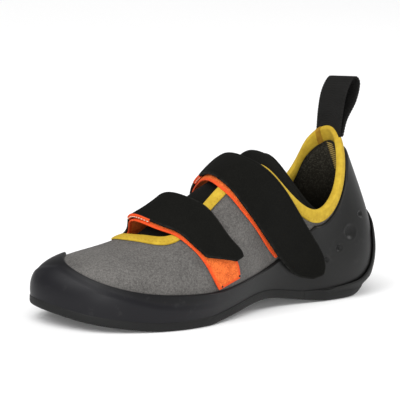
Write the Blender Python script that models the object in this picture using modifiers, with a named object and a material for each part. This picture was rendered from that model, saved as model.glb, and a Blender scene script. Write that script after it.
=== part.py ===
"""Climbing shoe for the left foot, closed by two hook-and-loop straps.

The shoe is built on its last. A loop of ribs runs round the footprint, from the heel along the
outer side to the toe and back along the inner side. Each rib is one curve from the feather line,
where upper and sole meet, to the folded top edge of collar and throat. Every piece that lies on
the upper is a band of that same surface, moved outwards or inwards by its place in the stack.

Sizes are millimetres while a shape is worked out. Toe is +X, the outer side of the foot is +Y.
"""
import bmesh
import bpy
import numpy as np
from mathutils import Vector

MM = 0.001

# Driving dimensions, in millimetres.
GAP = 0.3                   # clearance between neighbouring pieces
HUG_GAP = 0.4               # clearance of bands that follow the curve of the upper
FEATHER_GAP = 0.5           # clearance between sole and upper
SOLE_THICK = 6.0            # rubber under the foot
SOLE_REACH = 3.0            # sole edge outside the feather line
UPPER_WALL = 1.8            # suede with its lining
RUBBER_HEEL = 2.0           # rubber of the heel cup
RAND_LOW = 2.4              # thick lower course of the toe rand
RAND_HIGH = 1.6             # thin upper course of the toe rand
RAND_STEP = 0.58            # height of the step, as a share of the rand
RAND_LIFT = 1.7             # rubber starts this far up the ribs, clear of the sole
HEEL_STRIP = 1.4            # end of the sole turned up behind the heel
INSOLE_THICK = 2.0
INSOLE_INSET = 2.8
TONGUE_THICK = 3.0
BINDING_LEG = 7.0           # width of the folded tape on each side
BINDING_THICK = 1.0
STRAP_THICK = 2.0
UNDER_STRAP_THICK = 1.2
WEBBING_THICK = 1.5
WEBBING_WIDTH = 22.5
CENTRE_X = 123.5            # middle of the length and of the width, set at the part's origin
CENTRE_Y = 0.4

SAMPLES_PER_ROW = 4         # cells between two rows of the last
UPPER_CELLS = 8             # cells from feather line to top edge
ARRIVAL_PULL = 25.0         # weight of the plan normal in the direction a rib arrives from
SHARP_ANGLE = 40            # edges sharper than this many degrees are not smoothed over

# The last: one row for each rib, from the heel along the outer side round to the heel again.
# foot_x, foot_y, rise: the feather line and its height above a flat floor (below 0 means flat).
# top_x, top_y, top_z: the top edge. flare: outward lean at the bottom, degrees.
# slope: rise of the rib where it arrives at the top edge, degrees.
# low, high: fullness of the rib near its bottom and near its top. rubber: top of rand or heel cup.
LAST_COLUMNS = ("foot_x", "foot_y", "rise", "top_x", "top_y", "top_z",
                "flare", "slope", "low", "high", "rubber")
LAST = {
    "heel_back":      (4.95, 0, 5, 26, 0, 108, 26.5, 62, .36, .40, 96),
    "heel_round_out": (10, 20, 1.5, 32.5, 17, 95.5, 27, 72, .36, .38, 86),
    "heel_out":       (31, 28.5, -1, 44, 27, 72, 20, 84, .38, .34, 64),
    "waist_out":      (66, 26.5, 2, 66, 31, 60.5, 16, 95, .34, .34, 51),
    "instep_out":     (100, 27, 7, 93, 28.5, 80.5, 14, 78, .36, .34, 32),
    "arch_front_out": (128, 33.5, 5, 116, 24.5, 94, 14, 64, .38, .34, 24.5),
    "ball_back_out":  (153, 39, 1, 142, 20, 79, 14, 52, .42, .36, 21.5),
    "ball_out":       (180, 41, -1.2, 164, 20.5, 61, 14, 42, .46, .38, 22),
    "toe_out":        (209, 34, 1, 178, 18, 52.5, 12, 32, .48, .40, 24),
    "toe_corner_out": (236, 17, 5, 184, 6, 50.5, 10, 24, .44, .40, 30),
    "toe_tip":        (249, -10, 9.5, 188, -5, 49.5, 10, 20, .41, .40, 38),
    "toe_corner_in":  (244, -28, 9.5, 188, -14, 48, 10, 23, .41, .38, 36),
    "toe_in":         (223, -38, 5, 179, -19, 45.5, 12, 32, .46, .40, 29),
    "ball_in":        (188, -40.5, -1.2, 161, -23, 45, 14, 42, .46, .38, 25),
    "ball_back_in":   (156, -36, 3, 140, -25, 51, 14, 52, .42, .36, 25),
    "arch_in":        (122, -26, 10, 113, -26.5, 68, 14, 66, .38, .34, 29),
    "arch_back_in":   (92, -22, 11, 88, -28, 76, 14, 80, .36, .34, 36),
    "waist_in":       (62, -24.5, 5, 59, -29.5, 61.5, 16, 95, .34, .34, 50),
    "heel_in":        (29, -28, -1, 35.5, -26, 75, 20, 84, .38, .34, 66),
    "heel_round_in":  (9, -19, 1.5, 30.5, -17, 96.5, 27, 72, .36, .38, 87),
}
ROUND = len(LAST)           # the rib parameter runs from 0 to this once round the shoe

# Rubber: where the toe rand ends and the heel cup begins, on both sides, and their clearances.
RAND_END_OUT = 5.5
RAND_END_IN = 14.5
RAND_BUTT = 0.0075          # half the joint between rand and heel cup, in ribs
RUBBER_BELOW_TAPE = 2.0     # from the top of the heel cup to the lower edge of the binding
# Section of the rand from its lower edge up: share of its height, and share of the way from the
# thin course to the thick one.
RAND_SECTION = ((0.0, 0.4), (0.06, 1.0), (0.22, 1.0), (0.4, 1.0), (RAND_STEP, 1.0),
                (RAND_STEP + 0.05, 0.0), (0.8, 0.0), (0.96, 0.0), (1.0, -0.7))
RAND_BACK_CELLS = 6
HEEL_CUP_CELLS = 8

# Outsole edge, from the top down: inset from the full outline, height as a share of the sole.
SOLE_EDGE = ((0.0, 1.0), (0.0, 0.45), (0.7, 0.16), (2.4, 0.0))

# Turned-up end of the sole: half width in ribs at each share of its height.
HEEL_STRIP_ROWS = ((0.0, 2.15), (0.17, 1.8), (0.33, 1.5), (0.6, 1.25), (1.0, 0.95))
HEEL_STRIP_TOP = 0.52
HEEL_STRIP_LIFT = 0.8       # lower edge of the turned-up end, above that of the heel cup
HEEL_STRIP_CELLS = (5, 18)

# Straps: one row for each fold line, from the free end on the outer side over the throat to the
# seam on the inner side. Ribs and heights of the front and rear edge, and the stack below it.
STRAP_COLUMNS = ("front_rib", "front_height", "rear_rib", "rear_height", "below")
FRONT_STRAP = {
    "end":       (6.70, .53, 5.80, .36, 2.2),
    "corner":    (6.80, .58, 5.58, .40, 2.2),
    "side":      (7.05, .72, 5.95, .56, 2.2),
    "under_top": (7.38, .89, 6.25, .82, 3.6),
    "edge_out":  (7.70, 1.0, 6.45, 1.0, 4.4),
    "edge_in":   (12.4, 1.0, 13.25, 1.0, 4.4),
    "side_in":   (12.5, .78, 13.35, .76, 3.3),
    "seam_in":   (12.65, .56, 13.48, .54, 2.2),
}
FRONT_UNDER_STRAP = {
    "anchor":    (6.20, .185, 5.42, .19, 0.6),
    "pad":       (6.45, .31, 5.55, .30, 0.5),
    "side":      (6.72, .49, 5.85, .45, 0.5),
    "middle":    (7.00, .67, 6.10, .65, 0.6),
    "under_top": (7.42, .87, 6.32, .84, 1.8),
    "edge_out":  (7.80, 1.0, 6.50, 1.0, 2.1),
    "edge_in":   (12.35, 1.0, 13.2, 1.0, 2.1),
    "side_in":   (12.45, .78, 13.3, .76, 1.4),
    "seam_in":   (12.6, .58, 13.45, .56, 0.5),
}
REAR_STRAP = {
    "end":       (3.34, .18, 2.92, .18, 3.1),
    "corner":    (3.66, .23, 2.70, .27, 3.1),
    "on_rubber": (4.30, .36, 2.78, .48, 3.1),
    "side":      (5.00, .51, 3.15, .72, 2.6),
    "under_top": (5.50, .73, 4.00, .81, 2.9),
    "shoulder":  (5.72, .90, 4.60, .90, 4.5),
    "edge_out":  (5.86, 1.0, 4.95, 1.0, 5.1),
    "edge_in":   (14.55, 1.0, 15.45, 1.0, 4.4),
    "side_in":   (14.7, .78, 15.5, .78, 3.2),
    "seam_in":   (14.7, .56, 15.5, .58, 2.6),
}
REAR_UNDER_STRAP = {
    "end":       (4.00, .33, 3.62, .53, 0.7),
    "low":       (4.42, .39, 3.80, .60, 0.7),
    "side":      (5.00, .50, 4.10, .70, 0.6),
    "under_top": (5.48, .68, 4.50, .81, 0.8),
    "shoulder":  (5.76, .87, 4.80, .90, 1.9),
    "edge_out":  (5.95, 1.0, 5.05, 1.0, 2.3),
    "edge_in":   (14.5, 1.0, 15.4, 1.0, 2.1),
    "side_in":   (14.68, .78, 15.45, .78, 1.4),
    "seam_in":   (14.68, .60, 15.45, .62, 0.5),
}
# Arch over the throat: how far it stands above and in front of the straight line from edge to
# edge, at its outer and at its inner third. One row for each edge of the strap.
ARCH_COLUMNS = ("up_out", "up_in", "forward_out", "forward_in")
FRONT_ARCH = {"front": (-1.0, 18.5, 5.5, 23.5), "rear": (9.5, 24.0, 9.0, 8.0)}
REAR_ARCH = {"front": (10.5, 9.5, 4.0, -1.5), "rear": (7.0, 16.5, 4.0, 5.5)}
COVER_ARCH = 1.2            # the cover strap arches this much higher than the one below it
STRAP_CELLS = 4             # across a strap
STRAP_STEPS = 2             # cells from one fold line to the next
ARCH_STEPS = 8              # cells over the throat

# Tongue: one row for each section, from under the front of the throat to its free top: the rib
# where its edge is tucked in, its arch at the outer and inner third, the depth of both tucks, and
# how far the arch leans towards the heel.
TONGUE_COLUMNS = ("rib", "arch_out", "arch_in", "tuck_out", "tuck_in", "lean")
TONGUE = {
    "front":   (9.2, 0.0, 0.0, 12, 12, 0),
    "toe_end": (8.5, 2.0, 2.0, 12, 11, 0),
    "vamp":    (7.8, 7.5, 12.5, 11, 9, 0),
    "ball":    (7.0, 20.0, 27.0, 10, 6, 0),
    "instep":  (6.0, 20.0, 26.0, 9, 5, 0),
    "strap":   (5.3, 19.0, 20.0, 8, 5, 0),
    "rear":    (4.95, 22.0, 22.0, 7, 5, 2),
    "neck":    (4.6, 31.0, 26.0, 5, 5, 7),
    "top":     (4.2, 30.0, 20.0, 4, 4, 16),
}
TONGUE_NOTCH = 1.7          # the free edge runs this many ribs further back at the sides
TONGUE_IN_CLEAR = 1.2       # more room on the inner side, where the tongue rises steeply
TONGUE_CELLS = 8
TONGUE_STEPS = 2

BINDING_TURN = BINDING_THICK + HUG_GAP  # outer face of the folded tape, from the wall it holds

# Pull loop: height and rearward place of the webbing, up the front leg, over, down the rear leg.
# hug: how far the row follows the round of the heel, 1 all the way.
LOOP_COLUMNS = ("x", "z", "hug")
LOOP = {
    "front_foot": (25.8, 110.4, 1.0),
    "front_leg":  (26.0, 120, 0.6),
    "front_bend": (25.0, 130, 0.2),
    "front_top":  (21.8, 137, 0.0),
    "crown":      (18.0, 139.8, 0.0),
    "rear_top":   (15.0, 136, 0.0),
    "rear_leg":   (17.0, 126.5, 0.2),
    "rear_bend":  (23.2, 117.3, 0.7),
    "rear_foot":  (24.9, 110.4, 1.0),
}
HUG_RADIUS = 30.0           # plan curve of the heel's top edge
HUG_DROP = 15.0             # fall of the top edge away from the middle of the heel
LOOP_TILT = 0.12            # the free crown of the loop stands higher on the outer side
LOOP_ASIDE = 1.0            # middle of the webbing, towards the outer side
LOOP_CELLS = 4
LOOP_STEPS = 3

# Colours are linear; roughness follows the finish.
FINISHES = {
    "sole_rubber":   ((0.075, 0.075, 0.072), 0.72),
    "rand_rubber":   ((0.085, 0.085, 0.095), 0.62),
    "heel_rubber":   ((0.110, 0.110, 0.112), 0.60),
    "suede":         ((0.270, 0.255, 0.235), 0.95),
    "footbed_cloth": ((0.050, 0.048, 0.045), 0.95),
    "tongue_cloth":  ((0.030, 0.030, 0.028), 0.90),
    "binding_tape":  ((0.720, 0.520, 0.075), 0.85),
    "strap_cover":   ((0.035, 0.035, 0.030), 0.80),
    "strap_lining":  ((0.830, 0.220, 0.070), 0.85),
    "webbing":       ((0.028, 0.028, 0.028), 0.85),
}


def periodic_spline(values):
    """Return a smooth curve through rows of values at 0, 1, 2 and on, closed after the last."""
    values = np.asarray(values, float)
    count = len(values)
    ring = np.eye(count)
    system = 4 * ring + np.roll(ring, 1, axis=0) + np.roll(ring, -1, axis=0)
    tangents = np.linalg.solve(system, 3 * (np.roll(values, -1, 0) - np.roll(values, 1, 0)))

    def at(where):
        where = np.asarray(where, float)
        whole = np.floor(where).astype(int)
        u = (where - whole)[..., None]
        here = whole % count
        there = (whole + 1) % count
        start = values[here] * (2 * u**3 - 3 * u**2 + 1) + tangents[here] * (u**3 - 2 * u**2 + u)
        end = values[there] * (3 * u**2 - 2 * u**3) + tangents[there] * (u**3 - u**2)
        return start + end

    return at


def open_spline(values):
    """Return a smooth curve through rows of values at 0, 1, 2 and on, with free ends."""
    values = np.asarray(values, float)
    last = len(values) - 1
    tangents = np.gradient(values, axis=0)

    def at(where):
        where = np.clip(np.asarray(where, float), 0, last)
        here = np.minimum(np.floor(where).astype(int), last - 1)
        u = (where - here)[..., None]
        start = values[here] * (2 * u**3 - 3 * u**2 + 1) + tangents[here] * (u**3 - 2 * u**2 + u)
        end = values[here + 1] * (3 * u**2 - 2 * u**3) + tangents[here + 1] * (u**3 - u**2)
        return start + end

    return at


last_row = periodic_spline(list(LAST.values()))


def column(name, rib):
    """One named column of the last at the given ribs."""
    return last_row(rib)[..., LAST_COLUMNS.index(name)]


def named(columns, values):
    """Columns of a table by name."""
    return dict(zip(columns, np.moveaxis(np.asarray(values, float), -1, 0)))


def unit(vectors):
    return vectors / np.linalg.norm(vectors, axis=-1, keepdims=True)


def stacked(x, y, z):
    return np.stack(np.broadcast_arrays(x, y, z), axis=-1).astype(float)


def plan_outward(rib):
    """Direction square to the feather line, outwards, in plan."""
    step = 1e-3
    along = last_row(rib + step) - last_row(rib - step)
    return unit(stacked(-along[..., 1], along[..., 0], 0 * along[..., 0]))


def floor_rise(rib):
    """Height of the sole's underside above the floor: flat under heel and ball."""
    return np.maximum(column("rise", rib), 0.0)


def arrival(rib):
    """Direction in which a rib reaches the top edge."""
    across = plan_outward(rib) * ARRIVAL_PULL
    across[..., 0] += column("foot_x", rib) - column("top_x", rib)
    across[..., 1] += column("foot_y", rib) - column("top_y", rib)
    slope = np.radians(column("slope", rib))[..., None]
    return -unit(across) * np.cos(slope) + np.array((0, 0, 1.0)) * np.sin(slope)


def on_last(rib, height):
    """Point of the upper's outer face; height runs from 0 at the feather line to 1 at the top."""
    rib, height = np.broadcast_arrays(np.asarray(rib, float), np.asarray(height, float))
    feather = floor_rise(rib) + SOLE_THICK + FEATHER_GAP
    foot = stacked(column("foot_x", rib), column("foot_y", rib), feather)
    top = stacked(column("top_x", rib), column("top_y", rib), column("top_z", rib))
    size = np.linalg.norm(top - foot, axis=-1)
    flare = np.radians(column("flare", rib))
    leave = plan_outward(rib) * np.sin(flare)[..., None]
    leave[..., 2] = np.cos(flare)
    low = foot + leave * (column("low", rib) * size)[..., None]
    high = top - arrival(rib) * (column("high", rib) * size)[..., None]
    h = height[..., None]
    return (1 - h)**3 * foot + 3 * (1 - h)**2 * h * low + 3 * (1 - h) * h**2 * high + h**3 * top


def outward(rib, height):
    """Normal of the upper's outer face."""
    step = 1e-3
    along_rib = on_last(rib, np.minimum(height + step, 1)) - on_last(rib, np.maximum(height - step, 0))
    round_shoe = on_last(rib + step, height) - on_last(rib - step, height)
    return unit(np.cross(along_rib, round_shoe))


def offset_last(rib, height, distance):
    """Point at a distance outside the upper's outer face, or inside it if negative."""
    rib, height, distance = np.broadcast_arrays(rib, height, distance)
    return on_last(rib, height) + outward(rib, height) * np.asarray(distance, float)[..., None]


RIB_STEPS = np.linspace(0, 1, 61)


def height_below_top(rib, distance):
    """Height on each rib that lies a distance below the top edge, measured along the rib."""
    found = []
    for one, back in np.broadcast(rib, distance):
        points = on_last(np.full_like(RIB_STEPS, one), RIB_STEPS)
        run = np.concatenate(([0], np.cumsum(np.linalg.norm(np.diff(points, axis=0), axis=1))))
        found.append(np.interp(run[-1] - back, run, RIB_STEPS))
    return np.array(found).reshape(np.broadcast(rib, distance).shape)


def height_above_foot(rib, distance):
    """Height on each rib that lies a distance above the feather line, measured along the rib."""
    found = []
    for one in np.ravel(rib):
        points = on_last(np.full_like(RIB_STEPS, one), RIB_STEPS)
        run = np.concatenate(([0], np.cumsum(np.linalg.norm(np.diff(points, axis=0), axis=1))))
        found.append(np.interp(distance, run, RIB_STEPS))
    return np.array(found).reshape(np.shape(rib))


def height_at_level(rib, level):
    """Height on each rib at which it is a given level above the floor."""
    found = []
    for one, z in np.broadcast(rib, level):
        points = on_last(np.full_like(RIB_STEPS, one), RIB_STEPS)
        found.append(np.interp(z, points[:, 2], RIB_STEPS))
    return np.array(found).reshape(np.broadcast(rib, level).shape)


def rubber_top(rib):
    """Height on each rib of the top edge of the rubber, kept clear of the binding."""
    wanted = height_at_level(rib, column("rubber", rib))
    return np.minimum(wanted, height_below_top(rib, BINDING_LEG + RUBBER_BELOW_TAPE))


def rib_samples(start, end):
    """Ribs from start to end, on the same stations as the upper's own cells."""
    first = np.ceil(start * SAMPLES_PER_ROW + 1e-6)
    inner = np.arange(first, np.ceil(end * SAMPLES_PER_ROW - 1e-6)) / SAMPLES_PER_ROW
    return np.concatenate(([start], inner, [end]))


def make_object(name, mesh_builder, finish, collection):
    """Finish a bmesh as a named, smooth-shaded object with its material."""
    mesh = bpy.data.meshes.new(name)
    bmesh.ops.recalc_face_normals(mesh_builder, faces=mesh_builder.faces)
    mesh_builder.to_mesh(mesh)
    mesh_builder.free()
    mesh.shade_smooth()
    mesh.set_sharp_from_angle(angle=np.radians(SHARP_ANGLE))
    mesh.materials.append(finish)
    part = bpy.data.objects.new(name, mesh)
    collection.objects.link(part)
    return part


def to_metres(points):
    return (points - np.array((CENTRE_X, CENTRE_Y, 0.0))) * MM


def grid_mesh(points):
    """A grid of cells through an array of points, rows by columns; doubled ends are welded."""
    rows, columns = points.shape[:2]
    builder = bmesh.new()
    bmesh.ops.create_grid(builder, x_segments=rows - 1, y_segments=columns - 1, size=0.5)
    place = to_metres(points)
    for vert in builder.verts:
        row = round((vert.co.x + 0.5) * (rows - 1))
        col = round((vert.co.y + 0.5) * (columns - 1))
        vert.co = place[row, col]
    bmesh.ops.remove_doubles(builder, verts=builder.verts, dist=1e-6)
    return builder


def sheet(name, points, thickness, finish, collection, side=1.0):
    """An open sheet through the points, given its thickness by a Solidify modifier."""
    mesh = bpy.data.meshes.new(name)
    builder = grid_mesh(points)
    builder.normal_update()
    builder.to_mesh(mesh)
    builder.free()
    mesh.shade_smooth()
    mesh.materials.append(finish)
    part = bpy.data.objects.new(name, mesh)
    collection.objects.link(part)
    wall = part.modifiers.new("wall", "SOLIDIFY")
    wall.thickness = thickness * MM
    wall.offset = side
    wall.use_even_offset = True
    wall.use_quality_normals = True
    return part


def swept(name, sections, finish, collection):
    """A solid through closed sections; the ends are filled unless the sweep closes on itself."""
    closed = np.concatenate((sections, sections[:, :1]), axis=1)
    builder = grid_mesh(closed)
    edges = [edge for edge in builder.edges if edge.is_boundary]
    if edges:
        bmesh.ops.holes_fill(builder, edges=edges, sides=0)
    return make_object(name, builder, finish, collection)


def plate(name, rings, finish, collection):
    """A solid with round-the-foot rings for its edge, ruled from side to side above and below."""
    count = rings.shape[1]
    closed = np.concatenate((rings, rings[:, :1]), axis=1)
    builder = grid_mesh(closed)
    builder.verts.ensure_lookup_table()
    for ring in (rings[0], rings[-1]):
        wanted = to_metres(ring)
        found = [min(builder.verts, key=lambda vert, p=p: (vert.co - Vector(p)).length)
                 for p in wanted]
        half = count // 2
        builder.faces.new((found[0], found[1], found[-1]))
        for i in range(1, half - 1):
            builder.faces.new((found[i], found[i + 1], found[count - i - 1], found[count - i]))
        builder.faces.new((found[half - 1], found[half], found[half + 1]))
    return make_object(name, builder, finish, collection)


def footprint(inset, level):
    """Ring round the foot, inside the feather line by an inset, a level above the sole's underside."""
    ribs = np.arange(ROUND * SAMPLES_PER_ROW) / SAMPLES_PER_ROW
    ring = stacked(column("foot_x", ribs), column("foot_y", ribs), floor_rise(ribs) + level)
    return ring - plan_outward(ribs) * inset


def build_outsole(finish, collection):
    rings = [footprint(inset - SOLE_REACH, share * SOLE_THICK) for inset, share in SOLE_EDGE]
    return plate("outsole", np.array(rings), finish, collection)


def build_insole(finish, collection):
    """Footbed: its edge lies on the lines ruled from side to side over the sole."""
    edge = footprint(-SOLE_REACH, SOLE_THICK)
    bottom = footprint(INSOLE_INSET, SOLE_THICK)
    across = edge[-np.arange(len(edge))] - edge
    reach = np.linalg.norm(across[:, :2], axis=1)
    share = (INSOLE_INSET + SOLE_REACH) / np.maximum(reach, 2 * (INSOLE_INSET + SOLE_REACH))
    bottom[:, 2] = edge[:, 2] + across[:, 2] * share + GAP
    top = bottom + np.array((0, 0, INSOLE_THICK))
    return plate("insole", np.array([top, bottom]), finish, collection)


def build_upper(finish, collection):
    ribs = np.arange(ROUND * SAMPLES_PER_ROW + 1) / SAMPLES_PER_ROW
    heights = np.linspace(0, 1, UPPER_CELLS + 1)
    points = on_last(ribs[None, :], heights[:, None])
    return sheet("upper", points, UPPER_WALL, finish, collection, side=-1.0)


def build_toe_rand(finish, collection):
    """Rubber round the toes: a thick lower course and a thin upper one, with a step between."""
    ribs = rib_samples(RAND_END_OUT + RAND_BUTT, RAND_END_IN - RAND_BUTT)
    bottom = height_above_foot(ribs, RAND_LIFT)
    top = rubber_top(ribs)
    outline = [(share, HUG_GAP + RAND_HIGH + (RAND_LOW - RAND_HIGH) * thick)
               for share, thick in RAND_SECTION]
    outline += [(share, HUG_GAP) for share in np.linspace(1, 0, RAND_BACK_CELLS + 1)]
    sections = [offset_last(ribs, bottom + (top - bottom) * share, np.full_like(ribs, away))
                for share, away in outline]
    return swept("toe_rand", np.array(sections).transpose(1, 0, 2), finish, collection)


def build_heel_cup(finish, collection):
    """Rubber from the toe rand round the heel, up to the binding."""
    ribs = rib_samples(RAND_END_IN + RAND_BUTT - ROUND, RAND_END_OUT - RAND_BUTT)
    bottom = height_above_foot(ribs, RAND_LIFT)
    top = rubber_top(ribs)
    shares = np.linspace(0, 1, HEEL_CUP_CELLS + 1)[:, None]
    points = offset_last(ribs[None, :], bottom + (top - bottom) * shares, HUG_GAP)
    return sheet("heel_cup", points, RUBBER_HEEL, finish, collection)


def build_heel_strip(finish, collection):
    """End of the sole rubber turned up behind the heel, narrowing to its top."""
    up, around = HEEL_STRIP_CELLS
    shares = np.linspace(0, 1, up + 1)
    halves = np.interp(shares, *np.array(HEEL_STRIP_ROWS).T)
    spread = np.linspace(-1, 1, around + 1)
    ribs = halves[:, None] * spread[None, :]
    bottom = height_above_foot(ribs, RAND_LIFT + HEEL_STRIP_LIFT)
    heights = bottom + (HEEL_STRIP_TOP - bottom) * shares[:, None]
    points = offset_last(ribs, heights, HUG_GAP + RUBBER_HEEL + 2 * HUG_GAP)
    return sheet("heel_strip", points, HEEL_STRIP, finish, collection)


def build_binding(finish, collection):
    """Tape folded over the whole top edge of collar and throat.

    Its outline is given as distance below the top edge and offset from the outer face.
    """
    ribs = np.arange(ROUND * SAMPLES_PER_ROW + 1) / SAMPLES_PER_ROW
    inner_face, inner_skin = -UPPER_WALL - HUG_GAP, -UPPER_WALL - BINDING_TURN
    outline = ((BINDING_LEG, HUG_GAP), (BINDING_LEG, BINDING_TURN), (BINDING_LEG / 2, BINDING_TURN),
               (0, BINDING_TURN), (-BINDING_TURN, -UPPER_WALL * 0.2), (-BINDING_TURN, -UPPER_WALL * 0.8),
               (0, inner_skin), (BINDING_LEG, inner_skin),
               (BINDING_LEG, inner_face), (-HUG_GAP, inner_face),
               (-HUG_GAP, HUG_GAP), (BINDING_LEG / 2, HUG_GAP))
    sections = []
    for below, away in outline:
        heights = height_below_top(ribs, max(below, 0.0))
        ring = offset_last(ribs, heights, np.full_like(ribs, away))
        sections.append(ring + arrival(ribs) * max(-below, 0.0))
    return swept("collar_binding", np.array(sections).transpose(1, 0, 2), finish, collection)


def arch(start, end, bulge, share):
    """Point of a curve over the throat, moved up and forward from the line at its two thirds."""
    near = start + (end - start) / 3 + stacked(bulge["forward_out"], 0, bulge["up_out"])
    far = start + (end - start) * 2 / 3 + stacked(bulge["forward_in"], 0, bulge["up_in"])
    return ((1 - share)**3 * start + 3 * (1 - share)**2 * share * near
            + 3 * (1 - share) * share**2 * far + share**3 * end)


def strap_points(folds, bulges, higher=0.0):
    """Rows of points along a strap: up the outer side, over the throat, down the inner side."""
    names = list(folds)
    cut = names.index("edge_out") + 1
    across = np.linspace(1, 0, STRAP_CELLS + 1)

    def wall(rows):
        curve = open_spline(rows)
        steps = np.linspace(0, len(rows) - 1, (len(rows) - 1) * STRAP_STEPS + 1)
        row = named(STRAP_COLUMNS, curve(steps)[:, None])
        ribs = row["front_rib"] + (row["rear_rib"] - row["front_rib"]) * across
        heights = row["front_height"] + (row["rear_height"] - row["front_height"]) * across
        return offset_last(ribs, np.clip(heights, 0, 1), row["below"])

    outer = wall([folds[name] for name in names[:cut]])
    inner = wall([folds[name] for name in names[cut:]])
    front, rear = np.array(bulges["front"]), np.array(bulges["rear"])
    bulge = named(ARCH_COLUMNS, front + (rear - front) * across[:, None])
    bulge["up_out"] = bulge["up_out"] + higher
    bulge["up_in"] = bulge["up_in"] + higher
    shares = np.linspace(0, 1, ARCH_STEPS + 1)[1:-1]
    over = [arch(outer[-1], inner[0], bulge, share) for share in shares]
    return np.concatenate((outer, np.array(over), inner))


def build_straps(place, cover_folds, under_folds, bulges, finish, collection):
    """A cover strap and the lined strap below it, on the same arch."""
    under = strap_points(under_folds, bulges)
    cover = strap_points(cover_folds, bulges, COVER_ARCH)
    sheet(place + "_under_strap", under, UNDER_STRAP_THICK, finish["strap_lining"], collection)
    sheet(place + "_strap", cover, STRAP_THICK, finish["strap_cover"], collection)


def build_tongue(finish, collection):
    """Padded tongue, tucked under both edges of the throat, with a free top behind the straps."""
    curve = open_spline(list(TONGUE.values()))
    steps = np.linspace(0, len(TONGUE) - 1, (len(TONGUE) - 1) * TONGUE_STEPS + 1)
    inside = -(UPPER_WALL + BINDING_TURN + 2 * GAP)
    deeper = inside - TONGUE_IN_CLEAR
    start = TONGUE["front"][0]
    columns = []
    for share in np.linspace(0, 1, TONGUE_CELLS + 1):
        row = named(TONGUE_COLUMNS, curve(steps))
        aside = (2 * share - 1)**2 * TONGUE_NOTCH
        ribs = row["rib"] - aside * (start - row["rib"]) / (start - row["rib"][-1])
        out_edge = offset_last(ribs, height_below_top(ribs, row["tuck_out"]), inside)
        in_edge = offset_last(ROUND - ribs, height_below_top(ROUND - ribs, row["tuck_in"]), deeper)
        bulge = {"up_out": row["arch_out"], "up_in": row["arch_in"],
                 "forward_out": -row["lean"], "forward_in": -row["lean"]}
        columns.append(arch(out_edge, in_edge, bulge, share))
    points = np.array(columns).transpose(1, 0, 2)
    return sheet("tongue", points, TONGUE_THICK, finish, collection, side=-1.0)


def build_pull_loop(finish, collection):
    """Webbing sewn behind the heel and folded into a standing loop."""
    curve = open_spline(list(LOOP.values()))
    steps = np.linspace(0, len(LOOP) - 1, (len(LOOP) - 1) * LOOP_STEPS + 1)
    row = named(LOOP_COLUMNS, curve(steps)[:, None])
    y = np.linspace(0.5, -0.5, LOOP_CELLS + 1) * WEBBING_WIDTH + LOOP_ASIDE
    round_heel = row["hug"] * y**2 / 2
    tilt = (1 - row["hug"]) * LOOP_TILT * y
    points = stacked(row["x"] + round_heel / HUG_RADIUS, y, row["z"] - round_heel / HUG_DROP + tilt)
    return sheet("pull_loop", points, WEBBING_THICK, finish, collection)


def make_finish(name):
    """A plain Principled material with the piece's colour and roughness."""
    colour, roughness = FINISHES[name]
    finish = bpy.data.materials.new(name)
    finish.use_nodes = True
    shader = finish.node_tree.nodes["Principled BSDF"]
    shader.inputs["Base Color"].default_value = (*colour, 1.0)
    shader.inputs["Roughness"].default_value = roughness
    shader.inputs["Metallic"].default_value = 0.0
    finish.diffuse_color = (*colour, 1.0)
    return finish


def main():
    for old in list(bpy.data.objects):
        bpy.data.objects.remove(old, do_unlink=True)
    shoe = bpy.data.collections.new("climbing_shoe")
    bpy.context.scene.collection.children.link(shoe)
    finish = {name: make_finish(name) for name in FINISHES}

    build_outsole(finish["sole_rubber"], shoe)
    build_insole(finish["footbed_cloth"], shoe)
    build_upper(finish["suede"], shoe)
    build_toe_rand(finish["rand_rubber"], shoe)
    build_heel_cup(finish["heel_rubber"], shoe)
    build_heel_strip(finish["sole_rubber"], shoe)
    build_tongue(finish["tongue_cloth"], shoe)
    build_binding(finish["binding_tape"], shoe)
    build_straps("front", FRONT_STRAP, FRONT_UNDER_STRAP, FRONT_ARCH, finish, shoe)
    build_straps("rear", REAR_STRAP, REAR_UNDER_STRAP, REAR_ARCH, finish, shoe)
    build_pull_loop(finish["webbing"], shoe)


main()
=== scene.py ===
"""Looks of a left climbing shoe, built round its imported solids.

The shoe is made on a last, as a shoemaker makes it. A loop of ribs runs round the footprint, from the
heel along the outer side to the toe and back along the inner side, and each rib is one curve from the
feather line to the folded top edge. Every visible piece is laid on that surface at its own depth.

Sizes are millimetres while a shape is worked out; meshes are in metres.
"""

import logging
from abc import ABC, abstractmethod
from dataclasses import dataclass, field
from enum import Enum
from typing import Sequence

import bpy
import numpy as np
from mathutils import Matrix, Vector


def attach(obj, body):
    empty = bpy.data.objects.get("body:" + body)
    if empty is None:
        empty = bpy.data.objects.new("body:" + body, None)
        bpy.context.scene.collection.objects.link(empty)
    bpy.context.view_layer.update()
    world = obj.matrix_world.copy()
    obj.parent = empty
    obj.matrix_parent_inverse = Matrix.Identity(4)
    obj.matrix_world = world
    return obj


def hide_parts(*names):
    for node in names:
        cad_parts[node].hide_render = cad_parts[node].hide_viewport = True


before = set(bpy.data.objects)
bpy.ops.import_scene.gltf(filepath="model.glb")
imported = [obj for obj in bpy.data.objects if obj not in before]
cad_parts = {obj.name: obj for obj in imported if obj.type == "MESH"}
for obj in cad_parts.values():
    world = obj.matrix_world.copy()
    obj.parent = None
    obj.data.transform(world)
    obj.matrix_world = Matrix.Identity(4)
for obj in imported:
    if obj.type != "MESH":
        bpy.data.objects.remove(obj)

log = logging.getLogger("climbing_shoe")

Array = np.ndarray
Piece = bpy.types.Object
Colour = tuple[float, float, float]

MM = 0.001
CENTRE = np.array((123.5, 0.4, 0.0))    # the part's origin, on the last's own axes
BODY = "root"

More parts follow.
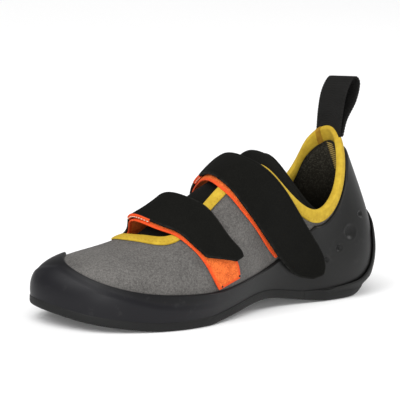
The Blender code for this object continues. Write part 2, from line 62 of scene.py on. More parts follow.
GAP = 0.3                   # between pieces that meet
HUG_GAP = 0.4               # between the upper and what lies on it
FEATHER_GAP = 0.5           # between the sole and the upper
SOLE_THICK = 6.0
SOLE_REACH = 3.0            # how far the sole stands out past the feather line
UPPER_WALL = 1.8
BINDING_LEG = 7.0           # showing height of the tape on the outer face
BINDING_TURN = 1.4          # how far the tape stands out from the upper
RUBBER_BELOW_TAPE = 2.0     # least strip of suede between tape and rubber
RUBBER_THICK = 2.0
TUCK_TOP = 1.4              # inset of the sole's upper edge behind the heel
TUCK_FOOT = 5.2             # further inset of its lower edge
TUCK_CURVE = 1.4
TUCK_FULL = 0.8             # ribs to each side that have the whole inset
TUCK_FADE = 0.9             # ribs over which it fades

LAST_COLUMNS = ("foot_x", "foot_y", "rise", "top_x", "top_y", "top_z",
                "flare", "slope", "low", "high", "rubber")
LAST_ROWS = {
    "heel_back":      (4.95, 0, 5, 26, 0, 108, 26.5, 62, .36, .40, 96),
    "heel_round_out": (10, 20, 1.5, 32.5, 17, 95.5, 27, 72, .36, .38, 86),
    "heel_out":       (31, 28.5, -1, 44, 27, 72, 20, 84, .38, .34, 64),
    "waist_out":      (66, 26.5, 2, 66, 31, 60.5, 16, 95, .34, .34, 51),
    "instep_out":     (100, 27, 7, 93, 28.5, 78.8, 14, 78, .36, .34, 32),
    "arch_front_out": (128, 33.5, 5, 116, 24.5, 94, 14, 64, .38, .34, 24.5),
    "ball_back_out":  (153, 39, 1, 142, 20, 79, 14, 52, .42, .36, 21.5),
    "ball_out":       (180, 41, -1.2, 164, 20.5, 61, 14, 42, .46, .38, 22),
    "toe_out":        (209, 34, 1, 178, 18, 52.5, 12, 32, .48, .40, 24),
    "toe_corner_out": (236, 17, 5, 184, 6, 51, 10, 24, .44, .40, 30),
    "toe_tip":        (249, -10, 9.5, 188, -5, 50.2, 10, 20, .41, .40, 37.6),
    "toe_corner_in":  (244, -28, 9.5, 188, -14, 48.7, 10, 26, .385, .38, 38.2),
    "toe_in":         (223, -38, 5, 179, -19, 45.5, 12, 33, .445, .40, 30),
    "ball_in":        (188, -40.5, -1.2, 161, -23, 45, 14, 42, .46, .38, 25),
    "ball_back_in":   (156, -36, 3, 140, -25, 51, 14, 52, .42, .36, 25),
    "arch_in":        (122, -26, 10, 113, -26.5, 68, 14, 66, .38, .34, 29),
    "arch_back_in":   (92, -22, 11, 88, -28, 76, 14, 80, .36, .34, 36),
    "waist_in":       (62, -24.5, 5, 59, -29.5, 61.5, 16, 95, .34, .34, 50),
    "heel_in":        (29, -28, -1, 35.5, -26, 75, 20, 84, .38, .34, 66),
    "heel_round_in":  (9, -19, 1.5, 30.5, -17, 96.5, 27, 72, .36, .38, 87),
}
ROUND = len(LAST_ROWS)
TOE_RIB = ROUND / 2
ARRIVAL_PULL = 25.0
RIB_STEPS = np.linspace(0, 1, 81)


def hermite(values: Array, tangents: Array, here: Array, there: Array, share: Array) -> Array:
    """Blend two rows of a curve with their tangents.

    Args:
        values: Rows of the table.
        tangents: Slope of the curve at each row.
        here: Row before each wanted place.
        there: Row after it.
        share: Share of the way between them.

    Returns:
        The blended rows.
    """
    u = share[..., None]
    start = values[here] * (2 * u**3 - 3 * u**2 + 1) + tangents[here] * (u**3 - 2 * u**2 + u)
    return start + values[there] * (3 * u**2 - 2 * u**3) + tangents[there] * (u**3 - u**2)


class ClosedCurve:
    """Smooth curve through rows at 0, 1, 2 and on, closed after the last."""

    def __init__(self, rows: Sequence[Sequence[float]]) -> None:
        """Work out the tangents of the closed curve.

        Args:
            rows: Rows that the curve passes through.
        """
        self.values = np.asarray(rows, float)
        ring = np.eye(len(self.values))
        system = 4 * ring + np.roll(ring, 1, axis=0) + np.roll(ring, -1, axis=0)
        change = np.roll(self.values, -1, 0) - np.roll(self.values, 1, 0)
        self.tangents = np.linalg.solve(system, 3 * change)

    def __call__(self, where: Array) -> Array:
        """Rows at the given places.

        Args:
            where: Places along the curve, counted in rows.

        Returns:
            The blended rows.
        """
        where = np.asarray(where, float)
        whole = np.floor(where).astype(int)
        count = len(self.values)
        return hermite(self.values, self.tangents, whole % count, (whole + 1) % count, where - whole)


class OpenCurve:
    """Smooth curve through rows at 0, 1, 2 and on, with free ends."""

    def __init__(self, rows: Sequence[Sequence[float]]) -> None:
        """Work out the tangents from the neighbouring rows."""
        self.values = np.asarray(rows, float)
        self.tangents = np.gradient(self.values, axis=0)

    def __call__(self, where: Array) -> Array:
        """Rows at the given places.

        Args:
            where: Places along the curve, counted in rows.

        Returns:
            The blended rows.
        """
        last = len(self.values) - 1
        where = np.clip(np.asarray(where, float), 0, last)
        here = np.minimum(np.floor(where).astype(int), last - 1)
        return hermite(self.values, self.tangents, here, here + 1, where - here)


def unit(vectors: Array) -> Array:
    """Vectors at length one."""
    return vectors / np.maximum(np.linalg.norm(vectors, axis=-1, keepdims=True), 1e-12)


def stacked(x: Array, y: Array, z: Array) -> Array:
    """Points from their coordinates."""
    return np.stack(np.broadcast_arrays(x, y, z), axis=-1).astype(float)


def eased(value: Array, start: float, end: float) -> Array:
    """Smooth step from 0 at start to 1 at end."""
    share = np.clip((np.asarray(value, float) - start) / (end - start), 0, 1)
    return share**2 * (3 - 2 * share)


def hump(value: Array, width: float) -> Array:
    """Soft ridge, 1 at zero and gone at a few widths."""
    return np.exp(-(np.asarray(value, float) / width)**2)


def bunched(count: int) -> Array:
    """Shares from 0 to 1, closer together at both ends."""
    side = np.array((0.0, 0.002, 0.006, 0.012, 0.021))
    return np.concatenate((side, np.linspace(0.035, 0.965, count), 1 - side[::-1]))


class Last:
    """Outer face of the upper, by rib and by height from 0 at the feather line to 1 at the top edge."""

    def __init__(self) -> None:
        """Lay the closed curve through the rows of the table."""
        self.row = ClosedCurve(list(LAST_ROWS.values()))

    def column(self, name: str, rib: Array) -> Array:
        """One named column of the table at the given ribs."""
        return self.row(rib)[..., LAST_COLUMNS.index(name)]

    def plan_outward(self, rib: Array) -> Array:
        """Direction square to the feather line, outwards, in plan.

        Args:
            rib: Places round the last, in ribs.

        Returns:
            Level vectors of length one.
        """
        step = 1e-3
        along = self.row(rib + step) - self.row(rib - step)
        return unit(stacked(-along[..., 1], along[..., 0], 0 * along[..., 0]))

    def floor_rise(self, rib: Array) -> Array:
        """Height of the sole's underside: flat under heel and ball."""
        return np.maximum(self.column("rise", rib), 0.0)

    def arrival(self, rib: Array) -> Array:
        """Direction in which a rib reaches the top edge.

        Args:
            rib: Places round the last, in ribs.

        Returns:
            Vectors of length one, up the ribs.
        """
        across = self.plan_outward(rib) * ARRIVAL_PULL
        across[..., 0] += self.column("foot_x", rib) - self.column("top_x", rib)
        across[..., 1] += self.column("foot_y", rib) - self.column("top_y", rib)
        slope = np.radians(self.column("slope", rib))[..., None]
        return -unit(across) * np.cos(slope) + np.array((0, 0, 1.0)) * np.sin(slope)

    def on(self, rib: Array, height: Array) -> Array:
        """Point of the outer face.

        Args:
            rib: Places round the last, in ribs.
            height: Heights on the last, from 0 to 1.

        Returns:
            The points.
        """
        rib, height = np.broadcast_arrays(np.asarray(rib, float), np.asarray(height, float))
        feather = self.floor_rise(rib) + SOLE_THICK + FEATHER_GAP
        foot = stacked(self.column("foot_x", rib), self.column("foot_y", rib), feather)
        top = stacked(self.column("top_x", rib), self.column("top_y", rib), self.column("top_z", rib))
        size = np.linalg.norm(top - foot, axis=-1)
        flare = np.radians(self.column("flare", rib))
        leave = self.plan_outward(rib) * np.sin(flare)[..., None]
        leave[..., 2] = np.cos(flare)
        low = foot + leave * (self.column("low", rib) * size)[..., None]
        high = top - self.arrival(rib) * (self.column("high", rib) * size)[..., None]
        h = height[..., None]
        return (1 - h)**3 * foot + 3 * (1 - h)**2 * h * low + 3 * (1 - h) * h**2 * high + h**3 * top

    def outward(self, rib: Array, height: Array) -> Array:
        """Normal of the outer face.

        Args:
            rib: Places round the last, in ribs.
            height: Heights on the last, from 0 to 1.

        Returns:
            Vectors of length one.
        """
        step = 1e-3
        up = self.on(rib, np.minimum(height + step, 1)) - self.on(rib, np.maximum(height - step, 0))
        around = self.on(rib + step, height) - self.on(rib - step, height)
        return unit(np.cross(up, around))

    def off(self, rib: Array, height: Array, distance: Array) -> Array:
        """Point at a distance outside the outer face, or inside it if negative."""
        rib, height, distance = np.broadcast_arrays(rib, height, distance)
        return self.on(rib, height) + self.outward(rib, height) * np.asarray(distance, float)[..., None]

    def _runs(self, rib: Array) -> tuple[Array, Array]:
        """Length run along each rib at the rib steps, and the level reached there.

        Args:
            rib: Places round the last, in ribs.

        Returns:
            Runs and levels, a row for each rib.
        """
        points = self.on(np.ravel(rib)[:, None], RIB_STEPS[None, :])
        legs = np.linalg.norm(np.diff(points, axis=1), axis=2)
        runs = np.concatenate((np.zeros((len(points), 1)), np.cumsum(legs, axis=1)), axis=1)
        return runs, points[..., 2]

    def below_top(self, rib: Array, distance: Array) -> Array:
        """Height that lies a distance below the top edge, measured along the rib.

        Args:
            rib: Places round the last, in ribs.
            distance: Distances down from the top edge.

        Returns:
            The heights.
        """
        rib, distance = np.broadcast_arrays(np.asarray(rib, float), np.asarray(distance, float))
        runs, _ = self._runs(rib)
        found = [np.interp(run[-1] - d, run, RIB_STEPS) for run, d in zip(runs, np.ravel(distance))]
        return np.array(found).reshape(rib.shape)

    def above_foot(self, rib: Array, distance: float) -> Array:
        """Height that lies a distance above the feather line, measured along the rib."""
        runs, _ = self._runs(rib)
        return np.array([np.interp(distance, run, RIB_STEPS) for run in runs]).reshape(np.shape(rib))

    def rubber_top(self, rib: Array) -> Array:
        """Height of the top edge of the rubber, kept clear of the binding.

        Args:
            rib: Places round the last, in ribs.

        Returns:
            The heights.
        """
        _, levels = self._runs(rib)
        wanted = self.column("rubber", np.ravel(rib))
        found = np.array([np.interp(z, level, RIB_STEPS) for z, level in zip(wanted, levels)])
        clear = self.below_top(rib, BINDING_LEG + RUBBER_BELOW_TAPE)
        return np.minimum(found.reshape(np.shape(rib)), clear)

    def footprint(self, rib: Array, inset: Array, level: Array) -> Array:
        """Point inside the feather line by an inset, a level above the sole's underside."""
        ring = stacked(self.column("foot_x", rib), self.column("foot_y", rib), self.floor_rise(rib) + level)
        return ring - self.plan_outward(rib) * np.asarray(inset, float)[..., None]


LAST = Last()


def heel_tuck(rib: Array, share: Array) -> Array:
    """How far the sole's edge is drawn in behind the heel, by rib and share of the sole's thickness.

    Args:
        rib: Places round the last, in ribs.
        share: Share of the sole's thickness, 0 at its underside.

    Returns:
        Distance inwards, in millimetres.
    """
    turn = np.asarray(rib, float) % ROUND
    away = np.maximum(np.minimum(turn, ROUND - turn) - TUCK_FULL, 0)
    return hump(away, TUCK_FADE) * (TUCK_TOP + TUCK_FOOT * (1 - share)**TUCK_CURVE)


def lifted(points: Array, amount: Array) -> Array:
    """Move a grid of points along its own normals.

    Args:
        points: Rows by columns of points.
        amount: Distance for each point, towards the side that a new grid faces.

    Returns:
        The moved points.
    """
    normal = unit(np.cross(np.gradient(points, axis=0), np.gradient(points, axis=1)))
    return points + normal * np.asarray(amount, float)[..., None]


def measured(points: Array) -> tuple[Array, Array]:
    """Length run along the rows and along the columns of a grid of points.

    Args:
        points: Rows by columns of points.

    Returns:
        Runs of every point down the rows, and along the columns.
    """
    runs = []
    for axis in (0, 1):
        legs = np.linalg.norm(np.diff(points, axis=axis), axis=2)
        start = [(0, 0), (0, 0)]
        start[axis] = (1, 0)
        runs.append(np.pad(np.cumsum(legs, axis=axis), start))
    return runs[0], runs[1]


def edge_distance(points: Array) -> Array:
    """Distance of each point of a sheet from the rim of the sheet.

    Args:
        points: Rows by columns of points.

    Returns:
        Distance of each point to the nearest part of the rim.
    """
    rim = np.concatenate((points[0, :-1], points[:-1, -1], points[-1, :0:-1], points[:0:-1, 0]))
    leg = np.roll(rim, -1, axis=0) - rim
    far = np.full(points.shape[:2], np.inf)
    for start, way in zip(rim, leg):
        away = points - start
        share = np.clip(away @ way / max(way @ way, 1e-9), 0, 1)
        far = np.minimum(far, np.linalg.norm(away - share[..., None] * way, axis=-1))
    return far


def padded_loop(points: Array, thick: float, relief: Array) -> tuple[Array, Array]:
    """Close a sheet into a pad with a round rim.

    Args:
        points: Lower face, rows by columns.
        thick: Thickness away from the rim.
        relief: Height that is added to the upper face.

    Returns:
        Upper and lower columns as one loop for each row, and the rim distance of each point.
    """
    rim = edge_distance(points)
    radius = thick / 2
    half = radius * np.sqrt(np.clip(1 - (1 - np.clip(rim / radius, 0, 1))**2, 0, 1))
    upper = lifted(points, radius + half + relief * eased(rim, 0, 1.2))
    lower = lifted(points, radius - half)
    loop = np.concatenate((upper, lower[:, ::-1], upper[:, :1]), axis=1)
    return loop, np.concatenate((rim, rim[:, ::-1], rim[:, :1]), axis=1)


def ripple(points: Array, length: float, seed: float) -> Array:
    """Smooth waviness between -1 and 1, from a few crossing waves of about the given length.

    Args:
        points: Points of a surface, in millimetres.
        length: Length of the waves.
        seed: Turns and shifts the waves.

    Returns:
        Height of the waves at each point.
    """
    total = np.zeros(points.shape[:-1])
    for turn, share in ((0.3, 1.0), (1.7, 0.8), (2.9, 0.7), (4.4, 0.6)):
        way = np.array((np.cos(turn + seed), np.sin(turn + seed), np.cos(2 * turn - seed)))
        total += np.sin(points @ way * (2 * np.pi * share / length) + seed * 7 * share)
    return total / 4


class Bench:
    """Adds primitives and shapes them with operators, one piece at a time."""

    @staticmethod
    def hold(*pieces: Piece) -> None:
        """Select only these pieces and make the first one active.

        Args:
            pieces: Pieces to select.
        """
        bpy.ops.object.select_all(action="DESELECT")
        for piece in pieces:
            piece.select_set(True)
        bpy.context.view_layer.objects.active = pieces[0]

    @staticmethod
    def grid(name: str, points: Array, edge: Array | None = None, slots: Array | None = None) -> Piece:
        """Add a grid and lay it through the points, with its run lengths as a UV map.

        Args:
            name: Name of the piece.
            points: Rows by columns of points, in millimetres.
            edge: Distance from the free edge, kept as an attribute of the points.
            slots: Material slot of each cell, by its first row and column.

        Returns:
            The new piece.
        """
        rows, columns = points.shape[:2]
        bpy.ops.object.select_all(action="DESELECT")
        bpy.ops.mesh.primitive_grid_add(x_subdivisions=rows - 1, y_subdivisions=columns - 1, size=1.0)
        piece = bpy.context.object
        piece.name = name
        mesh = piece.data
        mesh.name = name
        place = np.empty(len(mesh.vertices) * 3)
        mesh.vertices.foreach_get("co", place)
        share = place.reshape(-1, 3)[:, :2] + 0.5
        row = np.rint(share[:, 0] * (rows - 1)).astype(int)
        column = np.rint(share[:, 1] * (columns - 1)).astype(int)
        mesh.vertices.foreach_set("co", ((points[row, column] - CENTRE) * MM).ravel())
        corner = np.empty(len(mesh.loops), np.int32)
        mesh.loops.foreach_get("vertex_index", corner)
        along, across = measured(points)
        runs = np.stack((along, across), axis=-1) * MM
        layer = mesh.uv_layers.active
        layer.name = "runs"
        layer.uv.foreach_set("vector", runs[row[corner], column[corner]].astype(np.float32).ravel())
        if edge is not None:
            kept = mesh.attributes.new("edge", "FLOAT", "POINT")
            kept.data.foreach_set("value", (edge[row, column] * MM).astype(np.float32))
        if slots is not None:
            low_row, low_column = (line[corner].reshape(-1, 4).min(axis=1) for line in (row, column))
            mesh.polygons.foreach_set("material_index", slots[low_row, low_column].astype(np.int32))
        mesh.update()
        return piece

    @staticmethod
    def weld(piece: Piece, fill: bool = False) -> None:
        """Merge doubled points, fill open ends if asked, and turn the faces outwards.

        Args:
            piece: Piece to close.
            fill: Whether open ends get a face.
        """
        Bench.hold(piece)
        bpy.ops.object.mode_set(mode="EDIT")
        bpy.ops.mesh.select_all(action="SELECT")
        bpy.ops.mesh.remove_doubles(threshold=2e-6)
        if fill:
            bpy.ops.mesh.select_all(action="DESELECT")
            bpy.ops.mesh.select_mode(type="EDGE")
            bpy.ops.mesh.select_non_manifold(use_wire=False, use_multi_face=False, use_non_contiguous=False,
                                             use_verts=False)
            bpy.ops.mesh.edge_face_add()
        bpy.ops.mesh.select_all(action="SELECT")
        bpy.ops.mesh.normals_make_consistent(inside=False)
        bpy.ops.object.mode_set(mode="OBJECT")

    @staticmethod
    def modify(piece: Piece, kind: str, **settings: object) -> None:
        """Add a modifier with its settings and apply it.

        Args:
            piece: Piece to change.
            kind: Type of the modifier.
            settings: Its properties.
        """
        Bench.hold(piece)
        modifier = piece.modifiers.new(kind.lower(), kind)
        for key, value in settings.items():
            setattr(modifier, key, value)
        bpy.ops.object.modifier_apply(modifier=modifier.name)

    @staticmethod
    def wall(piece: Piece, thickness: float, side: float, inner_slot: int = 0) -> None:
        """Give an open sheet its thickness, with another material slot on the new face if asked."""
        Bench.modify(piece, "SOLIDIFY", thickness=thickness * MM, offset=side, use_even_offset=False,
                     use_quality_normals=True, material_offset=inner_slot)

    @staticmethod
    def round_edges(piece: Piece, width: float, segments: int = 3) -> None:
        """Round the sharp edges of a piece."""
        Bench.modify(piece, "BEVEL", width=width * MM, segments=segments, limit_method="ANGLE",
                     angle_limit=np.radians(50))

    @staticmethod
    def smooth(piece: Piece, angle: float = 40.0) -> None:
        """Shade the piece smooth, except over edges sharper than the angle."""
        Bench.hold(piece)
        bpy.ops.object.shade_smooth_by_angle(angle=np.radians(angle))

    @staticmethod
    def stitch(length: float, thick: float) -> Piece:
        """One lying stitch along X, round and tapered, as a pattern for copies.

        Args:
            length: Length in millimetres.
            thick: Thickness at the middle.

        Returns:
            The pattern, at the origin.
        """
        bpy.ops.object.select_all(action="DESELECT")
        bpy.ops.mesh.primitive_uv_sphere_add(segments=8, ring_count=6, radius=0.5 * MM)
        piece = bpy.context.object
        bpy.ops.object.mode_set(mode="EDIT")
        bpy.ops.mesh.select_all(action="SELECT")
        bpy.ops.transform.resize(value=(length, thick, thick))
        bpy.ops.object.mode_set(mode="OBJECT")
        return piece

    @staticmethod
    def sewn(name: str, pattern: Piece, places: Sequence[tuple[Array, Array, Array]]) -> Piece:
        """Copy a stitch to every place and join the copies.

        Args:
            name: Name of the joined piece.
            pattern: The stitch to copy; it is removed afterwards.
            places: Middle, direction and upward side of each stitch.

        Returns:
            One piece with all stitches.
        """
        copies = []
        for middle, way, up in places:
            forward = Vector(unit(np.asarray(way, float)))
            side = Vector(unit(np.asarray(up, float))).cross(forward).normalized()
            turned = Matrix((forward, side, forward.cross(side))).transposed().to_4x4()
            turned.translation = Vector((np.asarray(middle) - CENTRE) * MM)
            copy = pattern.copy()
            copy.data = pattern.data.copy()
            copy.data.transform(turned)
            bpy.context.collection.objects.link(copy)
            copies.append(copy)
        bpy.data.objects.remove(pattern, do_unlink=True)
        Bench.hold(*copies)
        bpy.ops.object.join()
        piece = bpy.context.object
        piece.name = name
        piece.data.name = name
        Bench.smooth(piece, 80)
        return piece


class Value:
    """A socket of a shader; arithmetic on it adds Math nodes."""

    def __init__(self, tree: "ShaderTree", socket: bpy.types.NodeSocket) -> None:
        """Hold the socket and the tree that it belongs to."""
        self.tree = tree
        self.socket = socket

    def _math(self, operation: str, first: object, second: object) -> "Value":
        """One Math node on two values."""
        return self.tree.node("ShaderNodeMath", {"operation": operation}, {0: first, 1: second})

    def __add__(self, other: object) -> "Value":
        """Sum."""
        return self._math("ADD", self, other)

    def __sub__(self, other: object) -> "Value":
        """Difference."""
        return self._math("SUBTRACT", self, other)

    def __rsub__(self, other: object) -> "Value":
        """Difference from a number."""
        return self._math("SUBTRACT", other, self)

    def __mul__(self, other: object) -> "Value":
        """Product."""
        return self._math("MULTIPLY", self, other)

    __radd__ = __add__
    __rmul__ = __mul__

    def wave(self, pitch: float) -> "Value":
        """Sine of this length, between 0 and 1, repeating at the pitch in metres."""
        return self._math("SINE", self * (2 * np.pi / pitch), 0.0) * 0.5 + 0.5

    def ease(self, start: float, end: float) -> "Value":
        """Smooth step from 0 at start to 1 at end.

        Args:
            start: Value that gives 0.
            end: Value that gives 1; it may be the lower one.

        Returns:
            The eased value.
        """
        low, high, first, last = (start, end, 0.0, 1.0) if start < end else (end, start, 1.0, 0.0)
        inputs = {"Value": self, "From Min": low, "From Max": high, "To Min": first, "To Max": last}
        return self.tree.node("ShaderNodeMapRange", {"interpolation_type": "SMOOTHSTEP"}, inputs)


class ShaderTree:
    """Node tree of one material."""

    def __init__(self, name: str) -> None:
        """Start a material with a plain Principled shader.

        Args:
            name: Name of the material.
        """
        self.material = bpy.data.materials.new(name)
        self.material.use_nodes = True
        self.nodes = self.material.node_tree.nodes
        self.links = self.material.node_tree.links
        self.shader = self.nodes["Principled BSDF"]

    def feed(self, socket: bpy.types.NodeSocket, value: object) -> None:
        """Link a value to a socket, or set a number or colour on it.

        Args:
            socket: Socket to feed.
            value: Value to link, or number or colour to set.
        """
        if isinstance(value, Value):
            self.links.new(value.socket, socket)
        elif isinstance(value, tuple) and len(value) == 3 and socket.type == "RGBA":
            socket.default_value = (*value, 1.0)
        else:
            socket.default_value = value

    def node(self, kind: str, settings: dict, inputs: dict, out: int | str = 0) -> Value:
        """Add a node.

        Args:
            kind: Type of the node.
            settings: Properties, which are set first.
            inputs: Values or links for its sockets, by name or number.
            out: Output to pass on.

        Returns:
            The output as a value.
        """
        made = self.nodes.new(kind)
        for key, setting in settings.items():
            setattr(made, key, setting)
        for key, value in inputs.items():
            self.feed(made.inputs[key], value)
        return Value(self, made.outputs[out])

    def place(self) -> Value:
        """Object coordinates."""
        return self.node("ShaderNodeTexCoord", {}, {}, "Object")

    def run(self, axis: str) -> Value:
        """Length run along (X) or across (Y) the piece, from its UV map."""
        spot = self.node("ShaderNodeUVMap", {"uv_map": "runs"}, {})
        return self.node("ShaderNodeSeparateXYZ", {}, {0: spot}, axis)

    def axis(self, name: str) -> Value:
        """One of the object coordinates."""
        return self.node("ShaderNodeSeparateXYZ", {}, {0: self.place()}, name)

    def edge(self) -> Value:
        """Distance from the free edge of the piece, in metres."""
        return self.node("ShaderNodeAttribute", {"attribute_name": "edge"}, {}, "Fac")

    def noise(self, size: float, detail: float = 2.0, rough: float = 0.5) -> Value:
        """Noise with grains of about the given size in millimetres."""
        inputs = {"Vector": self.place(), "Scale": 1 / (size * MM), "Detail": detail, "Roughness": rough}
        return self.node("ShaderNodeTexNoise", {}, inputs, "Fac")

    def cells(self, size: float) -> Value:
        """Distance to the nearest of scattered points about the given millimetres apart."""
        inputs = {"Vector": self.place(), "Scale": 1 / (size * MM)}
        return self.node("ShaderNodeTexVoronoi", {}, inputs, "Distance")

    def mix(self, share: Value, first: object, second: object) -> Value:
        """Colour between two colours."""
        return self.node("ShaderNodeMix", {"data_type": "RGBA"}, {0: share, 6: first, 7: second}, 2)

    def bump(self, height: Value, depth: float, strength: float = 1.0) -> Value:
        """Normal for a relief of the given depth in millimetres."""
        inputs = {"Height": height, "Distance": depth * MM, "Strength": strength}
        return self.node("ShaderNodeBump", {}, inputs)

    def dress(self, **sockets: object) -> bpy.types.Material:
        """Set the shader's sockets and hand over the material.

        Args:
            sockets: Values by the shader's socket names, in lower case with underscores.

        Returns:
            The material.
        """
        for name, value in sockets.items():
            self.feed(self.shader.inputs[name.replace("_", " ").title().replace("Ior", "IOR")], value)
        return self.material


@dataclass(frozen=True)
class Finish(ABC):
    """A finish with a darker and a lighter tone."""

    name: str
    dark: Colour
    light: Colour
    rough: float = 0.8

    @abstractmethod
    def material(self) -> bpy.types.Material:
        """Make the material."""


@dataclass(frozen=True)
class Suede(Finish):
    """Napped leather: cloudy tone, fine fibres, a dusty sheen."""

    def material(self) -> bpy.types.Material:
        """Make the material.

        Returns:
            The material.
        """
        tree = ShaderTree(self.name)
        cloud, mottle, nap = tree.noise(22, 3), tree.noise(1.2, 3, 0.6), tree.noise(0.5, 2)
        tone = (cloud * 0.35 + mottle * 0.7 + nap * 0.55).ease(0.45, 1.15)
        return tree.dress(base_color=tree.mix(tone, self.dark, self.light), roughness=self.rough,
                          specular_ior_level=0.15, sheen_weight=0.05, sheen_roughness=0.6,
                          normal=tree.bump(nap * 0.6 + mottle * 0.5, 0.35, 0.6))


@dataclass(frozen=True)
class Rubber(Finish):
    """Moulded rubber: faint clouds, fine grain, dusty scuffs and dulled patches."""

    toe: Colour = (0.0, 0.0, 0.0)
    grain: float = 0.05
    scuff: Colour = (0.045, 0.044, 0.043)

    def material(self) -> bpy.types.Material:
        """Make the material.

        Returns:
            The material.
        """
        tree = ShaderTree(self.name)
        cloud, fine = tree.noise(26, 3), tree.noise(0.45, 3, 0.6)
        dust = tree.noise(7, 6, 0.65).ease(0.56, 0.8) * 0.35
        tone = tree.mix(cloud.ease(0.3, 0.7), self.dark, self.light)
        tone = tree.mix(tree.axis("X").ease(-0.02, 0.06), tone, self.toe)
        tone = tree.mix(tree.edge().ease(0.0, 0.004) * 0.55, tone, (0.001, 0.001, 0.001))
        return tree.dress(base_color=tree.mix(dust, tone, self.scuff),
                          roughness=cloud * 0.1 + dust * 0.25 + (self.rough - 0.05),
                          specular_ior_level=0.22, normal=tree.bump(fine, self.grain, 0.5))


@dataclass(frozen=True)
class StrapCover(Finish):
    """Matt synthetic leather with a pebbled face, rubbed paler along its cut edges."""

    rubbed: Colour = (0.016, 0.016, 0.0145)

    def material(self) -> bpy.types.Material:
        """Make the material.

        Returns:
            The material.
        """
        tree = ShaderTree(self.name)
        pebble, cloud = tree.cells(0.9), tree.noise(14, 3)
        worn = tree.edge().ease(0.0016, 0.0003) * tree.noise(3, 3).ease(0.3, 0.7)
        tone = tree.mix((cloud * 0.6 + pebble * 0.6).ease(0.2, 0.9), self.dark, self.light)
        return tree.dress(base_color=tree.mix(worn, tone, self.rubbed), roughness=self.rough + cloud * 0.08,
                          specular_ior_level=0.07, normal=tree.bump(pebble, 0.12, 0.5))


@dataclass(frozen=True)
class LoopCloth(Finish):
    """Brushed loop cloth: curled yarns, with painted shade in a deeper red-orange along its cut edges."""

    # Deeper red-orange of the painted shade along the cut edges.
    rim: Colour = (0.72, 0.066, 0.016)

    def material(self) -> bpy.types.Material:
        """Make the material.

        Returns:
            The material.
        """
        tree = ShaderTree(self.name)
        curl, cloud = tree.cells(0.8), tree.noise(5, 4, 0.6)
        # Painted shade: deeper red-orange within about 3 mm of the cut edges, where the cloth lies under
        # the cover; a piece without the edge distance, such as the hem, gets it all over.
        rim_shade = tree.edge().ease(0.0030, 0.0008) * 0.8
        tone = tree.mix((cloud * 0.8 + curl * 0.5).ease(0.32, 0.85), self.dark, self.light)
        return tree.dress(base_color=tree.mix(rim_shade, tone, self.rim), roughness=self.rough,
                          specular_ior_level=0.1, normal=tree.bump(curl, 0.3, 0.7))


@dataclass(frozen=True)
class Tape(Finish):
    """Folded binding tape: fine cross ribs and a row of sunk stitches."""

    rib: float = 0.55
    stitch: float = 2.6
    thread: Colour = (0.32, 0.16, 0.02)

    def material(self) -> bpy.types.Material:
        """Make the material.

        Returns:
            The material.
        """
        tree = ShaderTree(self.name)
        along, across = tree.run("X"), tree.run("Y")
        ribs = along.wave(self.rib * MM)
        cloud = tree.noise(4, 4, 0.6)
        row = across.ease(0.0012, 0.0016) * across.ease(0.0023, 0.0019)
        dots = along.wave(self.stitch * MM).ease(0.62, 0.9) * row
        tone = tree.mix((cloud * 0.9 + ribs * 0.1).ease(0.2, 0.85), self.dark, self.light)
        return tree.dress(base_color=tree.mix(dots * 0.5, tone, self.thread), roughness=self.rough,
                          specular_ior_level=0.2,
                          normal=tree.bump(ribs * 0.3 + cloud * 0.4 - dots, 0.06, 0.5))


@dataclass(frozen=True)
class Weave(Finish):
    """Plain cloth: crossing yarns of a given pitch, with a little fluff."""

    pitch: float = 1.0
    depth: float = 0.15
    speckle: float = 0.5

    def material(self) -> bpy.types.Material:
        """Make the material.

        Returns:
            The material.
        """
        tree = ShaderTree(self.name)
        yarns = tree.run("X").wave(self.pitch * MM) * tree.run("Y").wave(self.pitch * MM)
        fluff, cloud = tree.noise(0.6, 3, 0.7), tree.noise(9, 3)
        tone = (yarns * self.speckle + fluff * self.speckle + cloud * (1 - self.speckle)).ease(0.2, 0.95)
        return tree.dress(base_color=tree.mix(tone, self.dark, self.light), roughness=self.rough,
                          specular_ior_level=0.1, normal=tree.bump(yarns + fluff * 0.4, self.depth, 0.6))


@dataclass(frozen=True)
class Fleece(Finish):
    """Dark knitted lining with scattered pale flecks, with painted shade that blackens it lower down inside
    the shoe and painted light towards the top edge.
    """

    # Heights in metres over which the painted shade low inside gives way to painted light above.
    low: float = 0.045
    high: float = 0.100

    def material(self) -> bpy.types.Material:
        """Make the material.

        Returns:
            The material.
        """
        tree = ShaderTree(self.name)
        fleck, fluff = tree.noise(1.2, 3, 0.6).ease(0.42, 0.75), tree.noise(0.6, 3, 0.7)
        # Painted light and shade: nearly black lower down inside the shoe, lit towards the top edge.
        lit = tree.axis("Z").ease(self.low, self.high) * 0.9 + 0.05
        tone = tree.mix((fleck * 0.5 + fluff * 0.5) * lit, self.dark, self.light)
        return tree.dress(base_color=tone, roughness=self.rough, specular_ior_level=0.05,
                          normal=tree.bump(fluff, 0.25, 0.6))


@dataclass(frozen=True)
class Thread(Finish):
    """Sewing thread with a twist."""

    def material(self) -> bpy.types.Material:
        """Make the material.

        Returns:
            The material.
        """
        tree = ShaderTree(self.name)
        twist = tree.noise(0.4, 2)
        return tree.dress(base_color=tree.mix(twist, self.dark, self.light), roughness=self.rough,
                          normal=tree.bump(twist, 0.05, 0.5))


